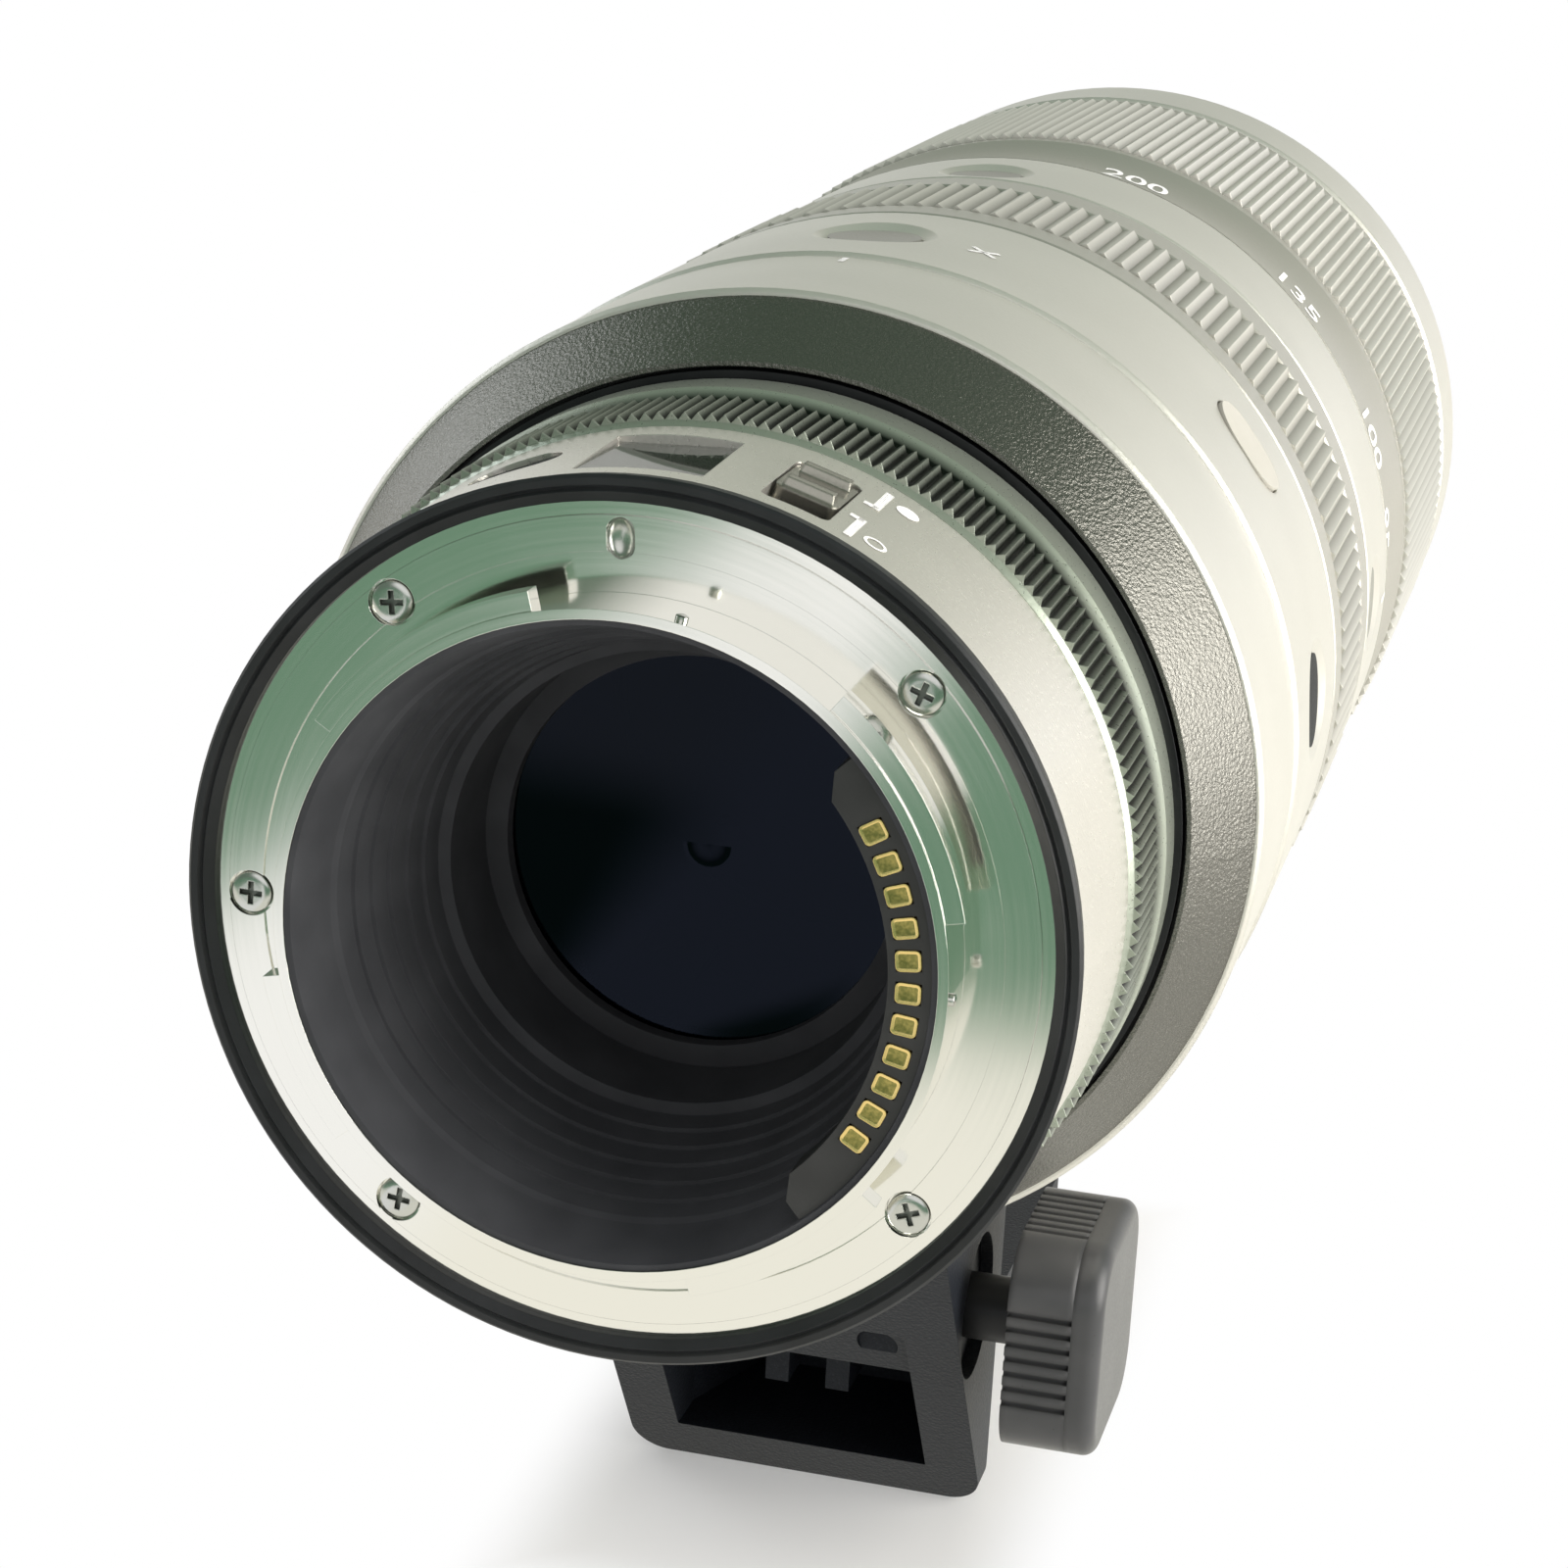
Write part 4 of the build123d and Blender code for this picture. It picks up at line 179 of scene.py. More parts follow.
def satin_paint(name, hex_code, shade_and_dust_hex, shaded_grooves=None, metallic=0.7, shine=0.3, edge_mm=0.12):
    """Shaded grooves: bottom and top radius in mm, and the place in metres behind which there are none.
    Between those radii the colour turns to the darker tone, as dust and painted shade.
    """
    material, tree, shader, place = start_material(name, hex_code, shine, metallic)
    noise = {"Vector": place, "Scale": 1 / (FLAKE * MM), "Detail": 3.0}
    spots = add(tree, "ShaderNodeTexNoise", noise).outputs["Fac"]
    noise = {"Vector": place, "Scale": 1 / (CLOUD * MM), "Detail": 2.0}
    clouds = add(tree, "ShaderNodeTexNoise", noise).outputs["Fac"]
    dusty = two_tones(tree, clouds, 0.3, 0.7, hex_code, shade_and_dust_hex)
    tones = {0: CLOUD_SHARE, 6: linear(hex_code), 7: dusty}
    colour = add(tree, "ShaderNodeMix", tones, data_type="RGBA").outputs[2]
    if shaded_grooves is not None:
        bottom, top, smooth_until = shaded_grooves
        depth = {"Value": radius_mm(tree, place), "From Min": bottom, "From Max": top}
        depth = add(tree, "ShaderNodeMapRange", depth).outputs["Result"]
        along = add(tree, "ShaderNodeSeparateXYZ", {0: place}).outputs["Y"]
        smooth = add(tree, "ShaderNodeMath", {0: along, 1: smooth_until}, operation="LESS_THAN").outputs[0]
        outside_painted_shade = add(tree, "ShaderNodeMath", {0: depth, 1: smooth}, operation="MAXIMUM").outputs[0]
        tones = {0: outside_painted_shade, 6: linear(shade_and_dust_hex), 7: colour}
        colour = add(tree, "ShaderNodeMix", tones, data_type="RGBA").outputs[2]
    tree.links.new(colour, shader.inputs["Base Color"])
    give_surface(tree, shader, spots, shine, shine + SHINE_SPREAD, spots, FLAKE_DEPTH, 0.6, edge_mm)
    return material


print("flake is drawn", FLAKE, "mm wide")

# %% [markdown]
# Four of the mixes are the pale paint: plain, on the two grips, and on the rear housing, where more flake
# gives a harder shine. Their pale tone is painted sheen on black paint. The control ring is darker, its
# grey also painted sheen, with near-black painted shade between its teeth.

# %% The five mixes
BARREL_PAINTED_SHEEN_HEX = "#e0ded6"
GROOVE_HEX = "#8c8b84"
BEHIND_ALL = -1.0
TEETH_SETBACK = 0.7
behind_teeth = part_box("control_ring")[0].y + TEETH_SETBACK * MM

# Sprayed satin on the smooth shells: a broad soft shine, and edges rounded by the paint.
barrel_paint = satin_paint("satin_metallic_paint", BARREL_PAINTED_SHEEN_HEX, GROOVE_HEX, edge_mm=0.4)
# The same on the ribs of the zoom ring, with a light painted shade between them.
zoom_paint = satin_paint("ribbed_grip_paint", "#eae8e1", "#bebcb4", (43.6, 44.15, BEHIND_ALL))
# The same on the focus ring, a tone darker, with dust and painted shade between its ribs.
focus_paint = satin_paint("focus_grip_paint", "#dcdad2", "#a09e96", (43.2, 43.75, BEHIND_ALL))
# More flake on the rear housing: a harder and whiter shine.
housing_paint = satin_paint("rear_housing_paint", "#e9e6de", GROOVE_HEX, metallic=0.78, shine=0.22)
# Greyer paint on the teeth of the control ring, with deep painted shade between them.
control_paint = satin_paint(
    "knurled_ring_paint", "#adb4a7", "#0c0e0b", (36.2, 36.75, behind_teeth), shine=0.22
)
print("satin paint in five mixes")

# %% [markdown]
# ## Wrinkle paint
# The bevelled cover behind the collar and the foot are sprayed with a dark paint that dries in
# small blisters, which hides marks and gives grip. Softened cells of a Voronoi pattern, a third
# of a millimetre across or a little more, have just that look.

# %% Wrinkle paint
BLISTER_DEPTH = 0.12


def wrinkle_paint(name, hex_code, worn_hex, cell_mm, roughness, metallic, strength, **sockets):
    material, tree, shader, place = start_material(name, hex_code, roughness, metallic, **sockets)
    blisters = {"Vector": place, "Scale": 1 / (cell_mm * MM), "Smoothness": 0.6}
    blisters = add(tree, "ShaderNodeTexVoronoi", blisters, feature="SMOOTH_F1").outputs["Distance"]
    noise = {"Vector": place, "Scale": 1 / (0.4 * cell_mm * MM), "Detail": 2.0}
    fine = add(tree, "ShaderNodeTexNoise", noise).outputs["Fac"]
    height = add(tree, "ShaderNodeMath", {0: blisters, 1: fine}, operation="ADD").outputs[0]
    tone = two_tones(tree, height, 0.35, 0.85, worn_hex, hex_code)
    tree.links.new(tone, shader.inputs["Base Color"])
    give_surface(tree, shader, fine, roughness - 0.08, roughness + 0.1, height, BLISTER_DEPTH, strength)
    return material


# Metallic wrinkle paint on the bevelled cover: it glints grey where light grazes it.
bevel_paint = wrinkle_paint(
    "dark_wrinkle_paint", "#767570", "#888680", cell_mm=0.34, roughness=0.27, metallic=0.85, strength=0.5
)
# Charcoal wrinkle paint on neck and foot: dull, so that it mirrors little of the white table.
foot_paint = wrinkle_paint(
    "charcoal_wrinkle_paint",
    "#21242a",
    "#2f3238",
    cell_mm=0.4,
    roughness=0.46,
    metallic=0.05,
    strength=0.4,
    Specular_IOR_Level=0.18,
)
print("wrinkle paint in two mixes")

# %% [markdown]
# ## Mount metal
# The flange and bayonet are turned brass with a hard bright plating. The turning tool leaves
# fine rings, on a flat face round the axis and on a bore along it. Noise along the sum of the
# radius and the axial place gives both, and a second noise lets the shine vary a little. Real
# rings are finer than a pixel, so they are drawn about half a millimetre apart and very low.

# %% Turned and plated metal
RING_DEPTH = 0.01
STAIN = 9.0


def turned_metal(name, hex_code, ring_mm, roughness, strength, edge_mm=0.15):
    material, tree, shader, place = start_material(name, hex_code, roughness, metallic=1.0)
    along = add(tree, "ShaderNodeSeparateXYZ", {0: place}).outputs["Y"]
    along = add(tree, "ShaderNodeMath", {0: along, 1: 1 / MM}, operation="MULTIPLY").outputs[0]
    feed = add(tree, "ShaderNodeMath", {0: along, 1: radius_mm(tree, place)}, operation="ADD").outputs[0]
    rings = {"W": feed, "Scale": 1 / ring_mm, "Detail": 2.0}
    rings = add(tree, "ShaderNodeTexNoise", rings, noise_dimensions="1D").outputs["Fac"]
    stains = {"Vector": place, "Scale": 1 / (STAIN * MM), "Detail": 2.0}
    stains = add(tree, "ShaderNodeTexNoise", stains).outputs["Fac"]
    shine = add(tree, "ShaderNodeMath", {0: rings, 1: stains}, operation="MULTIPLY").outputs[0]
    give_surface(
        tree, shader, shine, roughness - 0.04, roughness + 0.08, rings, RING_DEPTH, strength, edge_mm
    )
    return material


# Bright plating on turned brass: nearly a mirror, streaked round the axis.
mount_metal = turned_metal(
    "plated_mount_metal", "#f2f1eb", ring_mm=0.5, roughness=0.12, strength=0.02, edge_mm=0.06
)
# Nickel on steel: a softer and greyer mirror.
screw_metal = turned_metal("plated_screw_steel", "#cfd0cb", ring_mm=0.4, roughness=0.2, strength=0.1)
# The polished bowl of the lock recess, whose glint stays round.
bowl_metal = turned_metal("polished_bowl_metal", "#cfd0ca", ring_mm=0.5, roughness=0.26, strength=0.02)
# Brushed steel in the foot and on the rods: fine dull rings.
bush_metal = turned_metal("brushed_steel_insert", "#b9b9b5", ring_mm=0.3, roughness=0.3, strength=0.25)
# Turned brass without plating: yellow, with clear rings.
roller_metal = turned_metal("turned_brass", "#c99f52", ring_mm=0.3, roughness=0.28, strength=0.3)
print("turned metal in five mixes")

# %% [markdown]
# ## Moulded plastic, rubber and black anodising
# Inside the mount all is black, so that no stray light reaches the sensor: a matt moulded
# baffle, a black gasket ring that seals the camera, and anodised tubes further in. Blacks
# differ by their shine, so each has its own roughness and grain. A mould's spark-eroded grain
# is finer than a pixel, and is drawn a few tenths of a millimetre wide. A slight drift towards
# a paler tone, some millimetres wide, keeps each piece from one flat colour.

# %% Moulded and anodised pieces
LIGHTER_SHARE = 0.06
MOTTLE = 6.0


def lighter(hex_code):
    channels = [round(c + (255 - c) * LIGHTER_SHARE) for c in channels_of(hex_code)]
    return "#" + "".join(f"{channel:02x}" for channel in channels)


def moulded(name, hex_code, roughness, grain_mm=0.3, depth_mm=0.015, edge_mm=0.12, **sockets):
    material, tree, shader, place = start_material(name, hex_code, roughness, **sockets)
    noise = {"Vector": place, "Scale": 1 / (grain_mm * MM), "Detail": 2.0}
    spots = add(tree, "ShaderNodeTexNoise", noise).outputs["Fac"]
    noise = {"Vector": place, "Scale": 1 / (MOTTLE * MM), "Detail": 2.0}
    mottle = add(tree, "ShaderNodeTexNoise", noise).outputs["Fac"]
    tone = two_tones(tree, mottle, 0.35, 0.75, hex_code, lighter(hex_code))
    tree.links.new(tone, shader.inputs["Base Color"])
    give_surface(tree, shader, spots, roughness - 0.06, roughness + 0.08, spots, depth_mm, 0.5, edge_mm)
    return material


# Matt black moulding of the light trap: it swallows light, so that its steps hardly show.
baffle_black = moulded("matt_black_light_trap", "#404144", 0.8, Specular_IOR_Level=0.25)
# Rubber of the seal: a soft low shine on a coarse skin.
rubber_black = moulded("black_seal_rubber", "#141619", 0.45, grain_mm=0.5)
# Glass-filled moulding round the contacts: dark grey and a little shiny.
contact_plastic = moulded("black_contact_moulding", "#2b2b2b", 0.42)
# Charcoal moulding of the knob: smooth, with widely rounded edges.
knob_plastic = moulded(
    "charcoal_knob_moulding", "#3f4042", 0.3, grain_mm=0.25, depth_mm=0.012, edge_mm=0.9
)
# Matt black buttons, which look like holes in the pale shell.
button_black = moulded("matt_black_button_moulding", "#15171a", 0.5, Specular_IOR_Level=0.15)
# Black moulding inside, which shows only through glass and gaps.
inner_plastic = moulded("black_inner_moulding", "#1a1a1c", 0.5)
print("six blacks")

# %% [markdown]
# The buttons, the board and the display are made in the same way in their own colours. Anodised
# alloy, the switch and the punched steel in the screws are metal under a thin skin, so part of
# what they show is a metal's mirror.

# %% Buttons, display and skinned metal
# A pale button in the tone of the shell, without its flake.
button_plastic = moulded("pale_button_moulding", "#b7b4a9", 0.4)
# Grey buttons, shinier than the paint round them.
grey_button = moulded("grey_button_moulding", "#83827a", 0.36)
# The dark face of a display: smooth, and nearly a mirror.
screen_black = moulded("dark_screen", "#0d0e11", 0.12, grain_mm=3.0, depth_mm=0.002)
# Green lacquer on the circuit board, with a wet shine.
board_green = moulded("circuit_board_lacquer", "#1d4a33", 0.35)
# Black anodised alloy: a fine metal shine under the dark dye.
anodised = moulded("black_anodised_alloy", "#1b1c1f", 0.38, grain_mm=0.2, depth_mm=0.008, Metallic=0.4)
# Polished metal of the switch: its ridges take up the bright window.
switch_metal = moulded(
    "polished_switch_metal", "#a19f95", 0.16, depth_mm=0.004, edge_mm=0.3, Metallic=0.85
)
# Punched steel in the crosses of the screws: duller than the plated heads, and darker as painted shade of
# the deep recess.
recess_shade_steel = moulded("recess_steel_painted_shade", "#7b7e79", 0.4, grain_mm=0.2, depth_mm=0.01, Metallic=0.8)
print("three buttons and board colours, a screen and three skinned metals")

# %% [markdown]
# ## Gold contacts
# The eleven contacts are gold over nickel, which never tarnishes. Their middles are scratched and dulled
# by the camera's own pins, and painted olive as a reflection of the grey-green room. Real scratches are
# finer than a pixel, and are drawn a quarter of a millimetre wide, the rubbing on the rims twice that.

# %% Gold
RUBBING = 0.5
SCRATCH = 0.25

# Gold plating: warm and bright, with a slight haze of rubbing.
gold, tree, shader, place = start_material("gold_contact_plating", "#ffdf96", 0.25, metallic=1.0)
noise = {"Vector": place, "Scale": 1 / (RUBBING * MM), "Detail": 2.0}
haze = add(tree, "ShaderNodeTexNoise", noise).outputs["Fac"]
shine = {"Value": haze, "To Min": 0.16, "To Max": 0.3}
shine = add(tree, "ShaderNodeMapRange", shine).outputs["Result"]
tree.links.new(shine, shader.inputs["Roughness"])

# The same plating where pins have worn it: duller and uneven, and painted greener as a reflection of the
# grey-green room.
worn_gold_and_reflection, tree, shader, place = start_material("worn_contact_face_and_reflection", "#8d8950", 0.32, metallic=1.0)
noise = {"Vector": place, "Scale": 1 / (SCRATCH * MM), "Detail": 2.0}
scratches = add(tree, "ShaderNodeTexNoise", noise).outputs["Fac"]
shine = {"Value": scratches, "To Min": 0.26, "To Max": 0.42}
shine = add(tree, "ShaderNodeMapRange", shine).outputs["Result"]
tree.links.new(shine, shader.inputs["Roughness"])
tone = two_tones(tree, scratches, 0.4, 0.7, "#8d8950", "#b5a765")
tree.links.new(tone, shader.inputs["Base Color"])
print("gold, bright and worn")

# %% [markdown]
# ## Glass
# The lens glass is coated so that it mirrors little: it lets light through and throws back a weak violet,
# amber or green shine. A refractive index below the real 1.5 gives the weak mirror, and a tint on the
# mirrored light gives its colour. The rear and front glass are also tinted dark, as painted shade of the
# dark inside of the lens. Wiping leaves a faint haze, centimetres wide. The window over the little screen
# has no coating, and mirrors more.

# %% Coated glass and window
WIPE = 30.0


def coated_glass(name, hex_code, tint, index):
    material, tree, shader, place = start_material(
        name, hex_code, 0.02, Transmission_Weight=1.0, IOR=index, Specular_Tint=linear(tint)
    )
    noise = {"Vector": place, "Scale": 1 / (WIPE * MM), "Detail": 2.0}
    haze = add(tree, "ShaderNodeTexNoise", noise).outputs["Fac"]
    shine = {"Value": haze, "To Min": 0.01, "To Max": 0.04}
    shine = add(tree, "ShaderNodeMapRange", shine).outputs["Result"]
    tree.links.new(shine, shader.inputs["Roughness"])
    return material


# Violet coating over glass tinted near-black as painted shade of the dark inside: the rear glass looks
# like a deep blue pool.
rear_coating = coated_glass("coated_glass_violet", "#0a1020", "#a9bbe2", index=1.32)
# Amber coatings on the inner groups warm what is seen through them.
inner_coating = coated_glass("coated_glass_amber", "#4a4038", "#c9a878", index=1.3)
# Green coating on the large front glass: a faint cool sheen, over a dark grey tint that is painted shade
# of the dark inside.
front_coating = coated_glass("coated_glass_green", "#454c4e", "#b3d6c2", index=1.36)
# Bare hardened window: clear, with a full white mirror.
window_glass = coated_glass("clear_window", "#c3c8c6", "#ffffff", index=1.7)
print("glass in four mixes")

# %% [markdown]
# ## Dressing the solids
# Each solid takes the finish of its real piece, by its material slot. Nothing is moved.

# %% Finishes of the solids
FINISHES = {
    housing_paint: ["rear_housing"],
    barrel_paint: ["collar_ring", "button_housing", "mid_housing", "front_barrel"],
    zoom_paint: ["zoom_ring"],
    focus_paint: ["focus_ring"],
    control_paint: ["control_ring"],
    bevel_paint: ["collar_rear_cover"],
    foot_paint: ["collar_neck", "tripod_foot"],
    knob_plastic: ["clamp_knob", "knob_cap"],
    mount_metal: ["mount_ring"],
    screw_metal: ["mount_screws", "foot_screw"],
    bush_metal: ["tripod_bush", "focus_rods", "zoom_key"],
    roller_metal: ["variator_rollers", "compensator_rollers"],
    rubber_black: ["mount_gasket"],
    contact_plastic: ["contact_block"],
    gold: ["contact_pins"],
    baffle_black: ["rear_baffle", "rear_lens_cell"],
    inner_plastic: ["collar_liner", "iris_unit", "focus_motor"],
    anodised: [
        "clamp_jaw",
        "clamp_screw",
        "main_barrel",
        "collar_retainer",
        "fixed_barrel",
        "filter_ring",
        "front_cell",
        "front_retaining_ring",
        "guide_barrel",
        "cam_barrel",
        "variator_cell",
        "compensator_cell",
        "focus_cell",
    ],
    rear_coating: ["rear_glass"],
    inner_coating: ["variator_glass", "compensator_glass", "focus_glass"],
    front_coating: ["front_glass"],
    window_glass: ["display_window"],
    screen_black: ["display_module"],
    board_green: ["circuit_board"],
    switch_metal: ["mode_switch"],
    button_black: ["display_button", "function_button_side"],
    button_plastic: ["memory_button"],
    grey_button: [
        "function_button_top",
        "front_button_1",
        "front_button_2",
        "front_button_3",
        "front_button_4",
    ],
}


def dress(piece, *materials):
    piece.data.materials.clear()
    for material in materials:
        piece.data.materials.append(material)


for material, names in FINISHES.items():
    for name in names:
        dress(nodes[name], material)
bare = sorted(set(nodes) - {name for names in FINISHES.values() for name in names})
print("solids without a finish:", bare)

# %% [markdown]
# ## Modelling by hand
# The small pieces below are modelled as one would by hand: a primitive at its real size, a few
# edit-mode steps, then modifiers that are applied. These helpers start a piece, open it with
# faces or edges selected by their place, and close it again.


# %% Start, open and close a piece
def start_piece(name, add_primitive, **options):
    """Adds a primitive with nothing else selected, and bakes its place into the mesh."""
    bpy.ops.object.select_all(action="DESELECT")
    add_primitive(**options)
    piece = bpy.context.object
    piece.name = name
    bpy.ops.object.transform_apply(location=True, rotation=True, scale=True)
    return piece


def take_up(piece):
    """Selects one piece alone and makes it the active one."""
    bpy.ops.object.select_all(action="DESELECT")
    piece.select_set(True)
    bpy.context.view_layer.objects.active = piece


def open_piece(piece, kind="FACE", passes=lambda corners: True):
    """Opens a piece in edit mode with only the faces or edges selected whose corners pass."""
    take_up(piece)
    bpy.ops.object.mode_set(mode="EDIT")
    bpy.ops.mesh.select_mode(type=kind)
    bpy.ops.mesh.select_all(action="DESELECT")
    bpy.ops.object.mode_set(mode="OBJECT")
    mesh = piece.data
    for element in mesh.polygons if kind == "FACE" else mesh.edges:
        element.select = passes([mesh.vertices[i].co for i in element.vertices])
    bpy.ops.object.mode_set(mode="EDIT")


def open_top(piece, depth_mm):
    """Opens a piece that is centred on its depth, with its top face selected."""
    open_piece(piece, "FACE", lambda corners: all(c.z > 0.49 * depth_mm * MM for c in corners))


def close_piece():
    bpy.ops.object.mode_set(mode="OBJECT")


print("pieces can be started, opened and closed")

# %% [markdown]
# A modifier is applied as soon as it is set, so that each step leaves a plain mesh. At its end a piece
# gets its finish and the body that carries it.


# %% Scale, finish and hand over
def run_modifier(piece, kind, **settings):
    modifier = piece.modifiers.new(kind.lower(), kind)
    for key, value in settings.items():
        setattr(modifier, key, value)
    take_up(piece)
    bpy.ops.object.modifier_apply(modifier=modifier.name)


def scale_mesh(piece, x_mm, y_mm, z_mm):
    piece.data.transform(Matrix.Diagonal((x_mm * MM, y_mm * MM, z_mm * MM, 1.0)))


def hand_over(piece, material, body, smooth_angle=40):
    """A piece that is dressed already comes with no material."""
    if material is not None:
        dress(piece, material)
    take_up(piece)
    bpy.ops.object.shade_smooth_by_angle(angle=math.radians(smooth_angle))
    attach(piece, body)
    print(piece.name, len(piece.data.polygons), "faces")


print("pieces can be scaled, finished and handed over")

# %% [markdown]
# What repeats round the bayonet is modelled once, lying flat at the origin. Each copy gets its own
# mesh, is turned to face the camera body, moved out to its circle and turned round the axis, and
# all are joined to one piece.


# %% Copies round the axis
def copies(piece, matrices):
    """One piece made of a copy of the mesh at each matrix."""
    made = []
    for matrix in matrices:
        copy = piece.copy()
        copy.data = piece.data.copy()
        bpy.context.scene.collection.objects.link(copy)
        copy.data.transform(matrix)
        made.append(copy)
    name = piece.name
    bpy.data.objects.remove(piece)
    bpy.ops.object.select_all(action="DESELECT")
    for copy in made:
        copy.select_set(True)
    bpy.context.view_layer.objects.active = made[0]
    bpy.ops.object.join()
    made[0].name = name
    return made[0]


def round_the_axis(angle):
    """Turns what stands at +X to this angle, counted as seen from behind the lens."""
    return Matrix.Rotation(-math.radians(angle), 4, "Y")


facing_back = Matrix.Rotation(math.radians(90), 4, "X")
print("a copied piece faces", list((facing_back @ Vector((0, 0, 1))).to_tuple(0)))

# %% [markdown]
# ## Electrical contacts
# Eleven contacts carry power and data to the camera. Each is a small gold-plated pad with
# rounded corners and a rim that stands a little above its worn middle. One pad is bevelled and
# inset from a cube, then copied round the bayonet at the pitch of the solids.

# %% Contact pads
PAD_WIDTH = 1.65
PAD_HEIGHT = 2.0
PAD_DEPTH = 1.4
PAD_CORNER = 0.4
PAD_RIM = 0.26
PAD_SINK = 0.07
PAD_EDGE = 0.05
PAD_PITCH = 6.2
PAD_COUNT = 11
pad_low, pad_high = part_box("contact_pins")
pad_radius = pad_high.x - PAD_HEIGHT * MM / 2

pad = start_piece("contact_pads", bpy.ops.mesh.primitive_cube_add, size=1.0)
scale_mesh(pad, PAD_HEIGHT, PAD_WIDTH, PAD_DEPTH)
open_piece(pad, "EDGE", lambda ends: abs(ends[0].z - ends[1].z) > PAD_DEPTH * MM / 2)
bpy.ops.mesh.bevel(offset=PAD_CORNER * MM, segments=4, affect="EDGES")
close_piece()
open_top(pad, PAD_DEPTH)
bpy.ops.mesh.inset(thickness=PAD_RIM * MM, depth=0)
bpy.ops.transform.translate(value=(0, 0, -PAD_SINK * MM))
close_piece()
dress(pad, gold, worn_gold_and_reflection)
for face in pad.data.polygons:
    face.material_index = int(face.select)
run_modifier(
    pad, "BEVEL", width=PAD_EDGE * MM, segments=2, limit_method="ANGLE", angle_limit=math.radians(35)
)
seat = Matrix.Translation((pad_radius, pad_low.y + PAD_DEPTH * MM / 2, 0))
pad_angles = [(n - (PAD_COUNT - 1) / 2) * PAD_PITCH for n in range(PAD_COUNT)]
contact_pads = copies(pad, [round_the_axis(angle) @ seat @ facing_back for angle in pad_angles])
hand_over(contact_pads, None, "lens_barrel")
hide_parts("contact_pins")

# %% [markdown]
# ## Mount screws
# Five cross-head screws hold the flange. A real head is slightly domed at its edge and a little smaller
# than its counterbore, and the dark ring between the two is what the eye picks out. The cross is cut with
# a boolean from two crossed bars, as the punch does it, and takes their darker and duller finish; its
# darker tone is painted shade of the deep recess.

# %% One screw head
HEAD_RADIUS = 1.68
HEAD_DEPTH = 1.0
HEAD_EDGE = 0.08
DOME_WIDTH = 0.35
DOME_RISE = 0.12
CROWN_WIDTH = 0.3
CROWN_RISE = 0.03
CROSS_LENGTH = 1.85
CROSS_WIDTH = 0.44
CROSS_DEPTH = 1.1
CROSS_HEIGHT = 0.7

head = start_piece(
    "mount_screw_heads",
    bpy.ops.mesh.primitive_cylinder_add,
    vertices=40,
    radius=HEAD_RADIUS * MM,
    depth=HEAD_DEPTH * MM,
)
open_top(head, HEAD_DEPTH)
bpy.ops.mesh.inset(thickness=DOME_WIDTH * MM, depth=DOME_RISE * MM)
bpy.ops.mesh.inset(thickness=CROWN_WIDTH * MM, depth=CROWN_RISE * MM)
close_piece()
run_modifier(
    head, "BEVEL", width=HEAD_EDGE * MM, segments=3, limit_method="ANGLE", angle_limit=math.radians(30)
)
bar = start_piece("cross", bpy.ops.mesh.primitive_cube_add, size=1.0)
scale_mesh(bar, CROSS_LENGTH, CROSS_WIDTH, CROSS_DEPTH)
raised = Matrix.Translation((0, 0, CROSS_HEIGHT * MM))
cross = copies(bar, [raised, raised @ Matrix.Rotation(math.radians(90), 4, "Z")])
dress(head, screw_metal)
# The cross takes the darker steel, whose tone is painted shade of the recess.
dress(cross, recess_shade_steel)
run_modifier(
    head,
    "BOOLEAN",
    operation="DIFFERENCE",
    object=cross,
    solver="EXACT",
    use_self=True,
    material_mode="TRANSFER",
)
bpy.data.objects.remove(cross)
print("one screw head", len(head.data.polygons), "faces")

# %% [markdown]
# A screw ends its turn where it happens to be tight, so no two crosses stand alike. Each copy of
# the head is turned on itself by its own angle before it goes to its place on the flange.

# %% Five screw heads
SCREW_CIRCLE = 30.65
SCREW_ANGLES = (44.4, 129.5, 182.0, 234.6, 320.0)
HEAD_SETBACK = 0.15
FIRST_TURN = 25
NEXT_TURN = 31

seat = Matrix.Translation((SCREW_CIRCLE * MM, (HEAD_DEPTH / 2 + HEAD_SETBACK) * MM, 0))
places = []
for number, angle in enumerate(SCREW_ANGLES):
    turn = Matrix.Rotation(math.radians(FIRST_TURN + NEXT_TURN * number), 4, "Z")
    places.append(round_the_axis(angle) @ seat @ facing_back @ turn)
screw_heads = copies(head, places)
hand_over(screw_heads, None, "lens_barrel", 30)
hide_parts("mount_screws")

# %% [markdown]
# ## Lock recess
# The camera's locking pin drops into a short recess on the flange, whose bottom is a polished
# bowl that catches the light. It is the lower half of a stretched ball, cut in two and given a
# thin wall.

# %% Lock recess
BOWL_LENGTH = 3.15
BOWL_WIDTH = 2.15
BOWL_HEIGHT = 1.3
BOWL_WALL = 0.06
BOWL_SETBACK = 0.08
BOWL_ANGLE = 93.0

